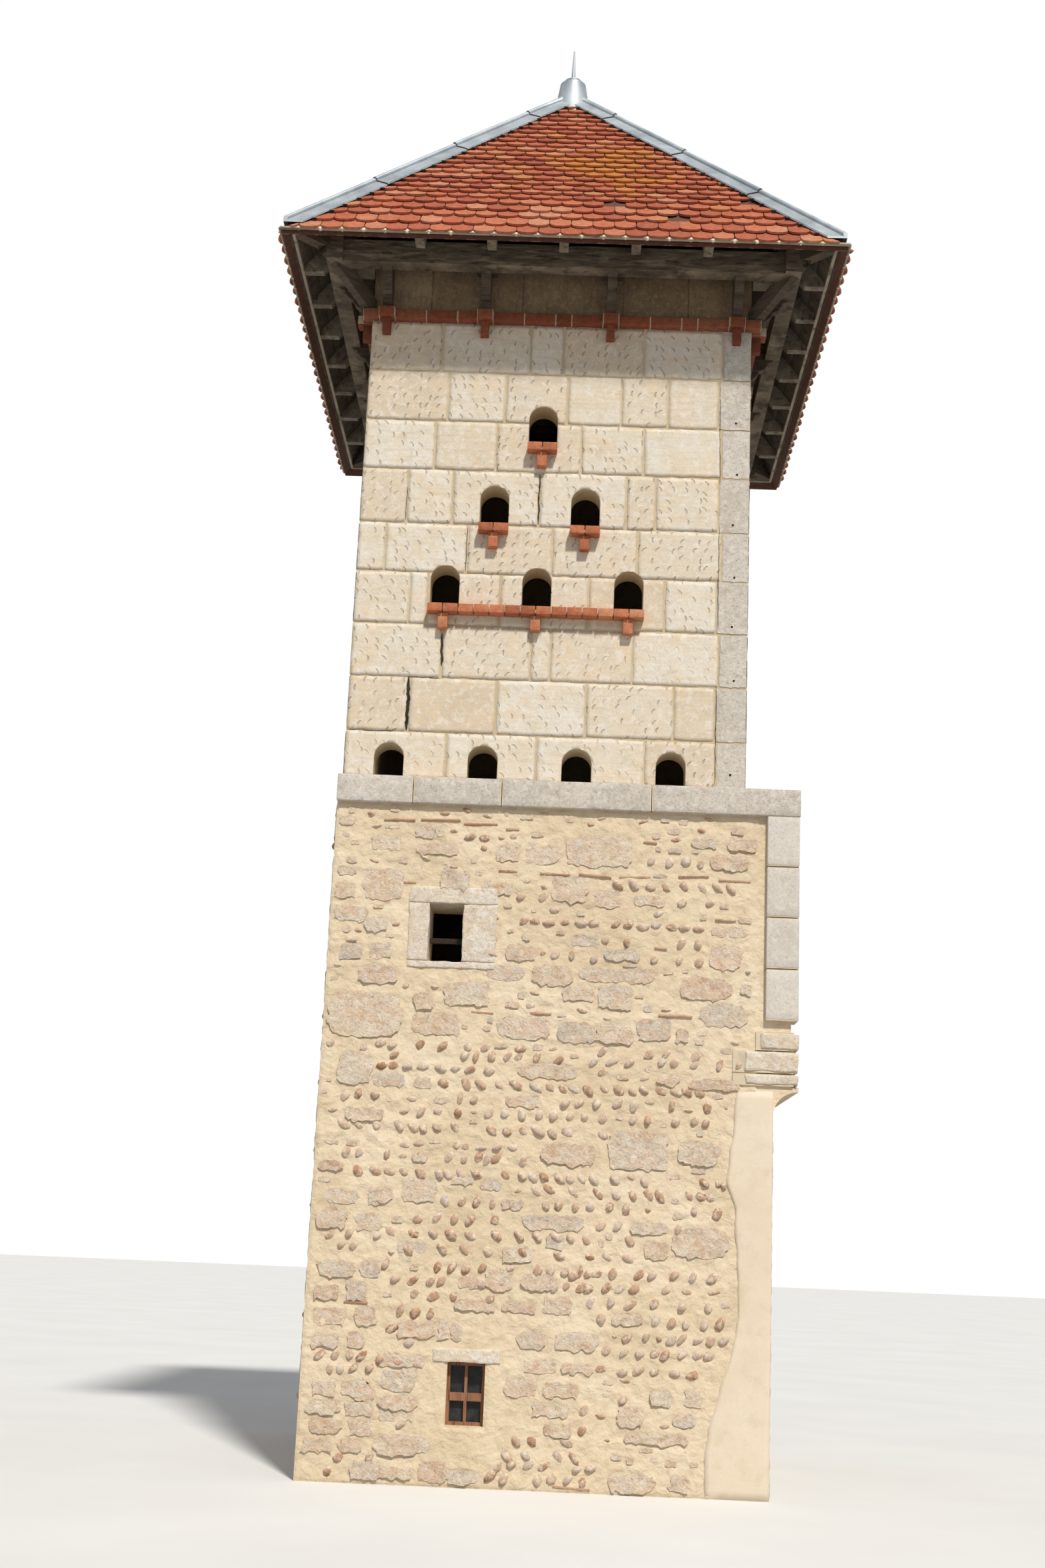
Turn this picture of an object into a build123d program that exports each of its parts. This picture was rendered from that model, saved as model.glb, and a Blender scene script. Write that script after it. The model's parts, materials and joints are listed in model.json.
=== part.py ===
from build123d import *
import math
import os

# Stone dovecote tower in two storeys, with eaves on timber braces and a hipped tile roof.
# Millimetres, X to the right, Y to the back, Z up. The front looks along -Y.
# The origin is on the ground, under the middle of the upper storey and of the roof.

# Upper storey, of squared stone
tower_width = 2950.0
ridge_length = 410.0
upper_wall = 220.0
wall_top = 9070.0

# Lower storey, of rubble
lower_wall = 450.0
set_out = 50.0
party_set_out = 25.0
right_set_out = 345.0
right_wall = 595.0
pier_set_back = 123.0
cove_foot = 2550.0
cove_reach = 178.0
cove_fillet_height = 32.0

# String course between the storeys
course_bottom = 4706.0
course_height = 194.0
course_projection = 50.0
course_ledge = 50.0
course_joint = 6.0
front_course_joints = (-947.0, -301.0, 790.0)
right_course_joints = (-560.0, 420.0)
back_course_joints = (-620.0, 330.0, 1010.0)

# Dressed stones at the free corners of the lower storey
quoin_width = 227.0
quoin_projection = 45.0
quoin_clear = 80.0
quoin_joint = 8.0
quoin_count = 4
foot_stone_width = 410.0
foot_stone_depth = 330.0
foot_stone_projection = 18.0
foot_stone_levels = (2764.0, 2854.0, 3012.0)
block_stone_top = 3143.0
block_stone_width = 250.0

# Pigeon holes, in rows of one, two, three and four
hole_width = 220.0
hole_height = 330.0
bottom_hole_height = 275.0
haunch_angle = 31.0
hole_centre = -110.0
hole_pitch = 692.0
row_sills = (7558.0, 6893.0, 6242.0)

# Brick perches below the upper three rows
brick_width = 111.0
brick_height = 65.0
brick_joint = 5.0
perch_reach = 100.0
long_perch_brick_count = 14
perch_corbel_width = 74.0
perch_corbel_height = 118.0
perch_corbel_reach = 70.0

# Slit window with its dressed stones, high in the lower storey
slit_centre = -662.0
slit_width = 240.0
slit_drop = 1146.0
slit_height = 417.0
slit_stone_depth = 240.0
slit_left_jamb = 150.0
slit_right_jamb = 247.0
slit_lintel_height = 120.0
slit_sill_height = 52.0
slit_stone_proud = 8.0
slit_bar_size = 36.0
slit_bar_height = 150.0
slit_bar_setback = 150.0

# Small framed window near the ground
low_window_centre = -370.0
low_window_width = 260.0
low_window_sill = 397.0
low_window_height = 413.0
low_window_setback = 70.0
low_frame_depth = 45.0
low_stile = 22.0
low_mullion = 20.0
low_transom = 52.0
low_transom_height = 160.0
low_pane = 4.0
low_lintel_height = 92.0
low_lintel_bearing = 102.0
low_stone_depth = 200.0
low_stone_proud = 6.0

# Floor between the storeys
floor_thickness = 50.0
floor_joist_width = 80.0
floor_joist_count = 5

# Brick course and corbels under the eaves
brick_course_bottom = 8570.0
brick_course_reach = 70.0
head_width = 124.0
head_reach = 120.0
eave_corbel_width = 66.0
eave_corbel_height = 125.0
eave_corbel_reach = 82.0
corbel_inset = 117.5
front_corbel_step = 976.0

# Eaves of timber
overhang = 587.0
bracket_width = 72.0
bracket_foot = 32.0
bracket_reach = 357.0
bracket_lip = 21.0
lobe_count = 4
lobe_ledge = 14.0
lobe_bulge = 10.0
corner_brace_foot = 50.0
corner_brace_heel = 95.0
purlin_clear = 220.0
purlin_width = 125.0
purlin_height = 180.0
purlin_horn = 40.0
tie_width = 160.0
tie_height = 104.0
rafter_width = 70.0
rafter_depth = 150.0
rafter_step = 548.0
rafter_foot_drop = 22.0
front_rafter_count = 5
side_rafter_count = 7
hip_rafter_width = 90.0
board_thickness = 18.0
board_bearing = 40.0
fascia_width = 22.0
fascia_height = 22.0

# Roof, its pitch the same on all four slopes
roof_pitch = 50.0
roof_surface_at_eave = 9060.0
roof_thickness = 40.0
tile_overhang = 60.0

# Zinc over the hips and the ridge
cap_width = 105.0
cap_thickness = 10.0
roll_radius = 22.0

# Zinc finials on the ends of the ridge
finial_neck_radius = 140.0
finial_shoulder_radius = 113.0
finial_neck_drop = 37.0
finial_shoulder_rise = 133.0
finial_crown_rise = 30.0
flange_radius = 76.0
flange_thickness = 12.0
spike_radius = 20.0
spike_tip_radius = 6.0
spike_height = 309.0

# Hair clearances between pieces that meet
timber_gap = 0.3
stone_gap = 0.2

# Sizes worked out from those above
tower_depth = tower_width + ridge_length
half_width = tower_width / 2
half_depth = tower_depth / 2
lower_front = half_depth + set_out
right_face = half_width + right_set_out
pier_face = right_face - pier_set_back
quoin_foot = block_stone_top + quoin_clear
lower_left = -(half_width + party_set_out)
inner_lower_y = lower_front - lower_wall
inner_lower_left = lower_left + lower_wall
inner_lower_right = right_face - right_wall
course_top = course_bottom + course_height
course_front = lower_front + course_projection
course_right = right_face + course_projection
course_inner_y = inner_lower_y + course_ledge
brick_course_top = brick_course_bottom + brick_height
eave_x = half_width + overhang
eave_y = half_depth + overhang
tile_x = eave_x + tile_overhang
tile_y = eave_y + tile_overhang
fascia_x = eave_x - fascia_width
fascia_y = eave_y - fascia_width
slope = math.tan(math.radians(roof_pitch))
ridge_half = ridge_length / 2
apex = roof_surface_at_eave + slope * eave_x
roof_drop = roof_thickness / math.cos(math.radians(roof_pitch))
rafter_drop = rafter_depth / math.cos(math.radians(roof_pitch))
cap_lift = cap_thickness / math.cos(math.radians(roof_pitch))
fascia_top = roof_surface_at_eave - roof_drop
rafter_foot = fascia_top - rafter_foot_drop
purlin_bottom = wall_top - purlin_height
bracket_top = wall_top - tie_height
purlin_in_x = half_width + purlin_clear
purlin_in_y = half_depth + purlin_clear
purlin_out_x = purlin_in_x + purlin_width
purlin_out_y = purlin_in_y + purlin_width
slit_sill = course_bottom - slit_drop
front_corbels = (
    half_width - corbel_inset,
    half_width - corbel_inset - front_corbel_step,
    half_width - corbel_inset - 2 * front_corbel_step,
    corbel_inset - half_width,
)
side_corbel_step = (tower_depth - 2 * corbel_inset) / 3
side_corbels = tuple(half_depth - corbel_inset - i * side_corbel_step for i in range(4))

os.makedirs("parts", exist_ok=True)


def keep(name, piece):
    piece.part.label = name
    export_step(piece.part, f"parts/{name}.step")


def block(x, y, z, mode=Mode.ADD):
    # a squared block, given by its two ends along each axis
    middle = tuple((a + b) / 2 for a, b in (x, y, z))
    with Locations(middle):
        Box(x[1] - x[0], y[1] - y[0], z[1] - z[0], mode=mode)


def spans(start, joints, end, gap):
    # the stretches between joints, with half of the gap taken from each side of a joint
    edges = [start] + [value for joint in joints for value in (joint - gap / 2, joint + gap / 2)] + [end]
    return list(zip(edges[0::2], edges[1::2]))


# Lower storey
slit_left = slit_centre - slit_width / 2
slit_right = slit_centre + slit_width / 2
slit_head = slit_sill + slit_height
low_left = low_window_centre - low_window_width / 2
low_right = low_window_centre + low_window_width / 2
low_head = low_window_sill + low_window_height

with BuildPart() as front_lower_wall:
    block((lower_left, inner_lower_right), (-lower_front, -inner_lower_y), (0, course_bottom))
    with BuildSketch(Plane.XZ.offset(lower_front)):
        with Locations((slit_centre, slit_sill + slit_height / 2)):
            Rectangle(slit_width, slit_height)
        with Locations((low_window_centre, low_window_sill + low_window_height / 2)):
            Rectangle(low_window_width, low_window_height)
    extrude(amount=-lower_wall, mode=Mode.SUBTRACT)
    # pockets for the dressed stones round the slit
    block(
        (slit_left - slit_left_jamb, slit_right + slit_right_jamb),
        (-lower_front, -lower_front + slit_stone_depth),
        (slit_sill - slit_sill_height, slit_head + slit_lintel_height),
        mode=Mode.SUBTRACT,
    )
    # pocket for the lintel of the low window
    block(
        (low_left - low_lintel_bearing, low_right + low_lintel_bearing),
        (-lower_front, -lower_front + low_stone_depth),
        (low_head, low_head + low_lintel_height),
        mode=Mode.SUBTRACT,
    )
keep("front_lower_wall", front_lower_wall)

with BuildPart() as back_lower_wall:
    block((lower_left, inner_lower_right), (inner_lower_y, lower_front), (0, course_bottom))
keep("back_lower_wall", back_lower_wall)

with BuildPart() as left_party_wall:
    block((lower_left, inner_lower_left), (-inner_lower_y, inner_lower_y), (0, course_bottom))
    block((lower_left, inner_lower_left), (-course_inner_y, course_inner_y), (course_bottom, course_top))
keep("left_party_wall", left_party_wall)

# The right wall stands back below a quarter-round cove, which carries the wider masonry above
with BuildPart() as right_lower_wall:
    with BuildSketch(Plane.XZ.offset(lower_front)) as right_profile:
        with BuildLine():
            cove_lip = pier_face + cove_reach
            cove_top = cove_foot + cove_reach
            fillet_top = cove_top + cove_fillet_height
            Line((inner_lower_right, 0), (pier_face, 0))
            Line((pier_face, 0), (pier_face, cove_foot))
            CenterArc((cove_lip, cove_foot), cove_reach, 180, -90)
            Line((cove_lip, cove_top), (cove_lip, fillet_top))
            Line((cove_lip, fillet_top), (right_face, fillet_top))
            Line((right_face, fillet_top), (right_face, course_bottom))
            Line((right_face, course_bottom), (inner_lower_right, course_bottom))
            Line((inner_lower_right, course_bottom), (inner_lower_right, 0))
        make_face()
        # hair joints, so that the foot, the cove and the wall above are stones of their own
        for level in (cove_foot, cove_top):
            with Locations((inner_lower_right, level)):
                Rectangle(
                    cove_lip - inner_lower_right,
                    stone_gap,
                    align=(Align.MIN, Align.MIN),
                    mode=Mode.SUBTRACT,
                )
    extrude(amount=-2 * lower_front)
    # corners cut away for the dressed stones
    for side in (-1, 1):
        quoin_y = sorted((side * lower_front, side * (lower_front + quoin_projection - quoin_width)))
        quoin_x = (right_face + quoin_projection - quoin_width, right_face)
        block(quoin_x, quoin_y, (quoin_foot, course_bottom), mode=Mode.SUBTRACT)
        foot_y = sorted((side * lower_front, side * (lower_front - foot_stone_depth)))
        foot_x = (right_face - foot_stone_width, right_face)
        block(foot_x, foot_y, (foot_stone_levels[0], foot_stone_levels[-1]), mode=Mode.SUBTRACT)
        stone_x = (right_face - block_stone_width, right_face)
        block(stone_x, foot_y, (foot_stone_levels[-1], block_stone_top), mode=Mode.SUBTRACT)
keep("right_lower_wall", right_lower_wall)

for side, corner in ((-1, "front"), (1, "back")):
    outer = side * (lower_front + quoin_projection)
    inner = side * (lower_front + quoin_projection - quoin_width)
    course = (course_bottom - quoin_foot) / quoin_count
    with BuildPart() as corner_quoins:
        for level in range(quoin_count):
            top = quoin_foot + (level + 1) * course - (0 if level == quoin_count - 1 else quoin_joint)
            block(
                (right_face + quoin_projection - quoin_width, right_face + quoin_projection),
                sorted((inner, outer)),
                (quoin_foot + level * course, top),
            )
    keep(corner + "_corner_quoins", corner_quoins)
    outer = side * (lower_front + foot_stone_projection)
    inner = side * (lower_front - foot_stone_depth)
    with BuildPart() as corner_foot_stones:
        for bottom, top in zip(foot_stone_levels, foot_stone_levels[1:]):
            block(
                (right_face - foot_stone_width, right_face + foot_stone_projection),
                sorted((inner, outer)),
                (bottom, top - quoin_joint),
            )
        block(
            (right_face - block_stone_width, right_face + foot_stone_projection),
            sorted((inner, outer)),
            (foot_stone_levels[-1], block_stone_top),
        )
    keep(corner + "_corner_foot_stones", corner_foot_stones)

# Dressed stones, bar and frame of the two windows
slit_face = (-lower_front - slit_stone_proud, -lower_front + slit_stone_depth)
with BuildPart() as slit_window_stones:
    outer_left = slit_left - slit_left_jamb
    outer_right = slit_right + slit_right_jamb
    block((outer_left, outer_right), slit_face, (slit_sill - slit_sill_height, slit_sill))
    block((outer_left, slit_left), slit_face, (slit_sill + timber_gap, slit_head))
    block((slit_right, outer_right), slit_face, (slit_sill + timber_gap, slit_head))
    lintel_z = (slit_head + timber_gap, slit_head + slit_lintel_height)
    block((outer_left, outer_right), slit_face, lintel_z)
keep("slit_window_stones", slit_window_stones)

with BuildPart() as slit_window_bar:
    bar_front = -lower_front + slit_bar_setback
    bar_bottom = slit_sill + slit_bar_height
    block(
        (slit_left, slit_right),
        (bar_front, bar_front + slit_bar_size),
        (bar_bottom, bar_bottom + slit_bar_size),
    )
keep("slit_window_bar", slit_window_bar)

with BuildPart() as low_window_lintel:
    block(
        (low_left - low_lintel_bearing, low_right + low_lintel_bearing),
        (-lower_front - low_stone_proud, -lower_front + low_stone_depth),
        (low_head, low_head + low_lintel_height),
    )
keep("low_window_lintel", low_window_lintel)

frame_front = -lower_front + low_window_setback
with BuildPart() as low_window_frame:
    with BuildSketch(Plane.XZ.offset(-frame_front)):
        with Locations((low_window_centre, low_window_sill + low_window_height / 2)):
            Rectangle(low_window_width, low_window_height)
            Rectangle(low_window_width - 2 * low_stile, low_window_height - 2 * low_stile, mode=Mode.SUBTRACT)
            Rectangle(low_mullion, low_window_height)
        with Locations((low_window_centre, low_window_sill + low_transom_height)):
            Rectangle(low_window_width, low_transom, align=(Align.CENTER, Align.MIN))
    extrude(amount=-low_frame_depth)
keep("low_window_frame", low_window_frame)

with BuildPart() as low_window_pane:
    pane_front = frame_front + low_frame_depth
    block((low_left, low_right), (pane_front, pane_front + low_pane), (low_window_sill, low_head))
keep("low_window_pane", low_window_pane)

# String course, laid as separate blocks
course_z = (course_bottom, course_top)
with BuildPart() as front_string_course:
    for x in spans(lower_left, front_course_joints, course_right, course_joint):
        block(x, (-course_front, -course_inner_y), course_z)
keep("front_string_course", front_string_course)

with BuildPart() as back_string_course:
    for x in spans(lower_left, back_course_joints, course_right, course_joint):
        block(x, (course_inner_y, course_front), course_z)
keep("back_string_course", back_string_course)

with BuildPart() as right_string_course:
    for y in spans(-course_inner_y, right_course_joints, course_inner_y, course_joint):
        block((inner_lower_right, course_right), y, course_z)
keep("right_string_course", right_string_course)

# Floor of the loft, on joists that bear on the ledge inside the string course
floor_bottom = course_top - floor_thickness
with BuildPart() as loft_joists:
    room = inner_lower_right - inner_lower_left
    for index in range(floor_joist_count):
        middle = inner_lower_left + room * (index + 0.5) / floor_joist_count
        block(
            (middle - floor_joist_width / 2, middle + floor_joist_width / 2),
            (-course_inner_y, course_inner_y),
            (course_bottom, floor_bottom),
        )
keep("loft_joists", loft_joists)

with BuildPart() as loft_floor:
    block((inner_lower_left, inner_lower_right), (-course_inner_y, course_inner_y), (floor_bottom, course_top))
keep("loft_floor", loft_floor)

# Upper storey
row_one = [(hole_centre, row_sills[0])]
row_two = [(hole_centre + step * hole_pitch, row_sills[1]) for step in (-0.5, 0.5)]
row_three = [(hole_centre + step * hole_pitch, row_sills[2]) for step in (-1, 0, 1)]
row_four = [(hole_centre + step * hole_pitch, course_top) for step in (-1.5, -0.5, 0.5, 1.5)]

with BuildPart() as front_upper_wall:
    haunch = hole_width / 2 * math.sin(math.radians(haunch_angle))
    bands = [
        (row_four, bottom_hole_height, course_top, row_sills[2]),
        (row_three, hole_height, row_sills[2], row_sills[1]),
        (row_two, hole_height, row_sills[1], row_sills[0]),
        (row_one, hole_height, row_sills[0], brick_course_bottom),
    ]
    with BuildSketch(Plane.XZ.offset(half_depth)):
        with Locations((0, course_top)):
            Rectangle(tower_width, brick_course_bottom - course_top, align=(Align.CENTER, Align.MIN))
        for row, height, bottom, top in bands:
            spring = bottom + height - hole_width / 2
            for x, sill in row:
                with Locations((x, sill)):
                    Rectangle(
                        hole_width,
                        spring - sill,
                        align=(Align.CENTER, Align.MIN),
                        mode=Mode.SUBTRACT,
                    )
                with Locations((x, spring)):
                    Circle(hole_width / 2, mode=Mode.SUBTRACT)
                # hair joint above the crown
                with Locations((x, spring)):
                    Rectangle(stone_gap, top - spring, align=(Align.CENTER, Align.MIN), mode=Mode.SUBTRACT)
            # hair joints at the springing, at the haunch and at the head of the band
            for level in (spring, spring + haunch, top):
                with Locations((0, level)):
                    Rectangle(tower_width, stone_gap, mode=Mode.SUBTRACT)
    extrude(amount=-upper_wall)
keep("front_upper_wall", front_upper_wall)

with BuildPart() as back_upper_wall:
    block(
        (-half_width, half_width),
        (half_depth - upper_wall, half_depth),
        (course_top, brick_course_bottom),
    )
keep("back_upper_wall", back_upper_wall)

for side, name in ((1, "right_upper_wall"), (-1, "left_upper_wall")):
    with BuildPart() as side_upper_wall:
        block(
            sorted((side * (half_width - upper_wall), side * half_width)),
            (-half_depth + upper_wall, half_depth - upper_wall),
            (course_top, brick_course_bottom),
        )
    keep(name, side_upper_wall)


# Perches: header bricks side by side, on smaller bricks standing below them
def lay_perch(x, sill, count):
    pitch = brick_width + brick_joint
    for index in range(count):
        middle = x + (index - (count - 1) / 2) * pitch
        block(
            (middle - brick_width / 2, middle + brick_width / 2),
            (-half_depth - perch_reach, -half_depth),
            (sill - brick_height, sill),
        )


with BuildPart() as top_perch:
    lay_perch(row_one[0][0], row_one[0][1], 2)
keep("top_perch", top_perch)

with BuildPart() as middle_perches:
    for x, sill in row_two:
        lay_perch(x, sill, 2)
keep("middle_perches", middle_perches)

with BuildPart() as long_perch:
    lay_perch(row_three[1][0], row_three[1][1], long_perch_brick_count)
keep("long_perch", long_perch)

with BuildPart() as perch_corbels:
    for x, sill in row_one + row_two + row_three:
        top = sill - brick_height
        block(
            (x - perch_corbel_width / 2, x + perch_corbel_width / 2),
            (-half_depth - perch_corbel_reach, -half_depth),
            (top - perch_corbel_height, top),
        )
keep("perch_corbels", perch_corbels)

# Brick course through the walls under the eaves, with longer bricks where the braces stand
reach_x = half_width + brick_course_reach
reach_y = half_depth + brick_course_reach
with BuildPart() as brick_course:
    for side in (-1, 1):
        block(
            (-reach_x, reach_x),
            sorted((side * (half_depth - upper_wall), side * reach_y)),
            (brick_course_bottom, brick_course_top),
        )
        for x in front_corbels:
            block(
                (x - head_width / 2, x + head_width / 2),
                sorted((side * half_depth, side * (half_depth + head_reach))),
                (brick_course_bottom, brick_course_top),
            )
        block(
            sorted((side * (half_width - upper_wall), side * reach_x)),
            (-half_depth + upper_wall, half_depth - upper_wall),
            (brick_course_bottom, brick_course_top),
        )
        for y in side_corbels:
            block(
                sorted((side * half_width, side * (half_width + head_reach))),
                (y - head_width / 2, y + head_width / 2),
                (brick_course_bottom, brick_course_top),
            )
keep("brick_course", brick_course)

with BuildPart() as brick_corbels:
    corbel_z = (brick_course_bottom - eave_corbel_height, brick_course_bottom)
    for side in (-1, 1):
        for x in front_corbels:
            block(
                (x - eave_corbel_width / 2, x + eave_corbel_width / 2),
                sorted((side * half_depth, side * (half_depth + eave_corbel_reach))),
                corbel_z,
            )
        for y in side_corbels:
            block(
                sorted((side * half_width, side * (half_width + eave_corbel_reach))),
                (y - eave_corbel_width / 2, y + eave_corbel_width / 2),
                corbel_z,
            )
keep("brick_corbels", brick_corbels)


# Brackets with a moulded lower edge, between the brick course and the eave purlin
def bracket(foot, direction):
    # a bracket in the vertical plane that leaves the wall at its foot in the given direction
    top_lobe = bracket_top - bracket_lip
    rise = (top_lobe - brick_course_top) / lobe_count
    run = (bracket_reach - bracket_lip - bracket_foot) / lobe_count
    with BuildPart() as made:
        with BuildSketch(Plane(origin=foot, x_dir=direction, z_dir=(direction[1], -direction[0], 0))):
            with BuildLine():
                for lobe in range(lobe_count):
                    start = (bracket_foot + lobe * run, brick_course_top + lobe * rise)
                    end = (start[0] + run - lobe_ledge, start[1] + rise)
                    bulge = (
                        (start[0] + end[0]) / 2 + lobe_bulge,
                        (start[1] + end[1]) / 2 - lobe_bulge,
                    )
                    ThreePointArc(start, bulge, end)
                    Line(end, (end[0] + lobe_ledge, end[1]))
                nose = bracket_reach - bracket_lip
                Polyline(
                    (nose, top_lobe),
                    (bracket_reach, top_lobe + bracket_lip / 2),
                    (bracket_reach, bracket_top),
                    (0, bracket_top),
                    (0, brick_course_top),
                    (bracket_foot, brick_course_top),
                )
            make_face()
        extrude(amount=bracket_width / 2, both=True)
    return made.part


brackets = []
for side in (-1, 1):
    brackets += [bracket((x, side * half_depth, 0), (0, side, 0)) for x in front_corbels]
    brackets += [bracket((side * half_width, y, 0), (side, 0, 0)) for y in side_corbels]

with BuildPart() as eave_braces:
    for made in brackets:
        add(made)
keep("eave_braces", eave_braces)


def corner_brace(x_side, y_side):
    # a straight brace in the diagonal plane, from the corner of the wall up to the corner of the purlins,
    # as deep at its head as at its foot
    diagonal = math.sqrt(2)
    direction = (x_side / diagonal, y_side / diagonal, 0)
    corner = (x_side * half_width, y_side * half_depth, 0)
    with BuildPart() as made:
        with BuildSketch(Plane(origin=corner, x_dir=direction, z_dir=(direction[1], -direction[0], 0))):
            with BuildLine():
                head = bracket_top - bracket_lip
                climb = (head - brick_course_top) / (bracket_reach - corner_brace_foot)
                shoulder = (bracket_top - brick_course_top - corner_brace_heel) / climb
                Polyline(
                    (0, brick_course_top),
                    (corner_brace_foot * diagonal, brick_course_top),
                    (bracket_reach * diagonal, head),
                    (bracket_reach * diagonal, bracket_top),
                    (shoulder * diagonal, bracket_top),
                    (0, brick_course_top + corner_brace_heel),
                    close=True,
                )
            make_face()
        extrude(amount=bracket_width / 2, both=True)
    return made.part


corner_brace_parts = [corner_brace(x_side, y_side) for x_side in (-1, 1) for y_side in (-1, 1)]

with BuildPart() as corner_braces:
    for made in corner_brace_parts:
        add(made)
keep("corner_braces", corner_braces)

# Purlins round the tower, those of the sides running through at the corners, notched over the brackets
with BuildPart() as eave_purlins:
    for side in (-1, 1):
        block(
            (-purlin_in_x + timber_gap, purlin_in_x - timber_gap),
            sorted((side * purlin_in_y, side * purlin_out_y)),
            (purlin_bottom, wall_top),
        )
        block(
            sorted((side * purlin_in_x, side * purlin_out_x)),
            (-purlin_out_y - purlin_horn, purlin_out_y + purlin_horn),
            (purlin_bottom, wall_top),
        )
    add(eave_braces.part, mode=Mode.SUBTRACT)
    add(corner_braces.part, mode=Mode.SUBTRACT)
keep("eave_purlins", eave_purlins)

# Short beams from the wall to the purlin, one over each bracket
with BuildPart() as tie_beams:
    for side in (-1, 1):
        for x in front_corbels[1:3]:
            block(
                (x - tie_width / 2, x + tie_width / 2),
                sorted((side * (half_depth - upper_wall), side * purlin_in_y)),
                (bracket_top, wall_top),
            )
        for y in side_corbels[1:3]:
            block(
                sorted((side * (half_width - upper_wall), side * purlin_in_x)),
                (y - tie_width / 2, y + tie_width / 2),
                (bracket_top, wall_top),
            )
keep("tie_beams", tie_beams)

# Top of the walls, between the brick course and the eaves, with pockets for the short beams
for side, name in ((-1, "front_frieze_wall"), (1, "back_frieze_wall")):
    with BuildPart() as frieze_wall:
        block(
            (-half_width, half_width),
            sorted((side * (half_depth - upper_wall), side * half_depth)),
            (brick_course_top, wall_top),
        )
        add(tie_beams.part, mode=Mode.SUBTRACT)
    keep(name, frieze_wall)

with BuildPart() as side_frieze_walls:
    for side in (-1, 1):
        block(
            sorted((side * (half_width - upper_wall), side * half_width)),
            (-half_depth + upper_wall, half_depth - upper_wall),
            (brick_course_top, wall_top),
        )
    add(tie_beams.part, mode=Mode.SUBTRACT)
keep("side_frieze_walls", side_frieze_walls)


# Boards that close the eaves between wall and purlin, mitred at the corners
def ring_side(x_in, x_out, y_in, y_out, z, along_x, side):
    with BuildPart() as made:
        with BuildSketch(Plane.XY.offset(z[0])):
            with BuildLine():
                if along_x:
                    near, far = side * y_in, side * y_out
                    inner_end, outer_end = x_in - timber_gap, x_out - timber_gap
                    corners = [(-inner_end, near), (inner_end, near), (outer_end, far), (-outer_end, far)]
                else:
                    near, far = side * x_in, side * x_out
                    corners = [(near, -y_in), (near, y_in), (far, y_out), (far, -y_out)]
                Polyline(*corners, close=True)
            make_face()
        extrude(amount=z[1] - z[0])
    return made.part


def ring(x_in, x_out, y_in, y_out, z):
    sides = []
    for side in (-1, 1):
        sides.append(ring_side(x_in, x_out, y_in, y_out, z, True, side))
        sides.append(ring_side(x_in, x_out, y_in, y_out, z, False, side))
    return sides


board_ring = ring(
    half_width - board_bearing,
    purlin_in_x + board_bearing,
    half_depth - board_bearing,
    purlin_in_y + board_bearing,
    (wall_top, wall_top + board_thickness),
)
with BuildPart() as soffit_boards:
    for made in board_ring:
        add(made)
keep("soffit_boards", soffit_boards)


# Roof: the whole hipped body, of which each slope keeps its own share
def hipped_body(lift):
    peak = apex + lift
    base = rafter_foot - 2 * rafter_drop
    half_base = (peak - base) / slope
    with BuildPart() as body:
        with BuildSketch(Plane.XZ):
            with BuildLine():
                Polyline((-half_base, base), (half_base, base), (0, peak), close=True)
            make_face()
        extrude(amount=2 * tile_y, both=True)
        with BuildSketch(Plane.YZ):
            with BuildLine():
                Polyline(
                    (-half_base - ridge_half, base),
                    (half_base + ridge_half, base),
                    (ridge_half, peak),
                    (-ridge_half, peak),
                    close=True,
                )
            make_face()
        extrude(amount=2 * tile_x, both=True, mode=Mode.INTERSECT)
        block((-tile_x, tile_x), (-tile_y, tile_y), (base, peak), mode=Mode.INTERSECT)
    return body.part


roof_mass = hipped_body(0)
roof_void = hipped_body(-roof_drop)
rafter_void = hipped_body(-roof_drop - rafter_drop)
cap_mass = hipped_body(cap_lift)
front_plan = [(-tile_x, -tile_y), (tile_x, -tile_y), (0, -ridge_half)]
back_plan = [(-tile_x, tile_y), (tile_x, tile_y), (0, ridge_half)]
left_plan = [(-tile_x, -tile_y), (-tile_x, tile_y), (0, ridge_half), (0, -ridge_half)]
right_plan = [(tile_x, -tile_y), (tile_x, tile_y), (0, ridge_half), (0, -ridge_half)]


def slope_share(plan, outside, inside):
    # what lies between two hipped bodies over one part of the plan
    with BuildPart() as made:
        with BuildSketch():
            with BuildLine():
                Polyline(*plan, close=True)
            make_face()
        extrude(amount=apex)
        add(outside, mode=Mode.INTERSECT)
        add(inside, mode=Mode.SUBTRACT)
    return made.part


shares = [slope_share(plan, roof_mass, roof_void) for plan in (front_plan, back_plan, left_plan, right_plan)]
with BuildPart() as front_roof_slope:
    add(shares[0])
keep("front_roof_slope", front_roof_slope)

with BuildPart() as back_roof_slope:
    add(shares[1])
keep("back_roof_slope", back_roof_slope)

with BuildPart() as left_roof_slope:
    add(shares[2])
keep("left_roof_slope", left_roof_slope)

with BuildPart() as right_roof_slope:
    add(shares[3])
keep("right_roof_slope", right_roof_slope)

# A thin fascia under the ends of the tiles, bevelled to the slope
fascia_ring = ring(
    eave_x - fascia_width,
    eave_x,
    eave_y - fascia_width,
    eave_y,
    (fascia_top - fascia_height, fascia_top + 2 * fascia_width),
)
with BuildPart() as eave_fascia:
    for made in fascia_ring:
        add(made)
    add(roof_void, mode=Mode.INTERSECT)
keep("eave_fascia", eave_fascia)

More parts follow.
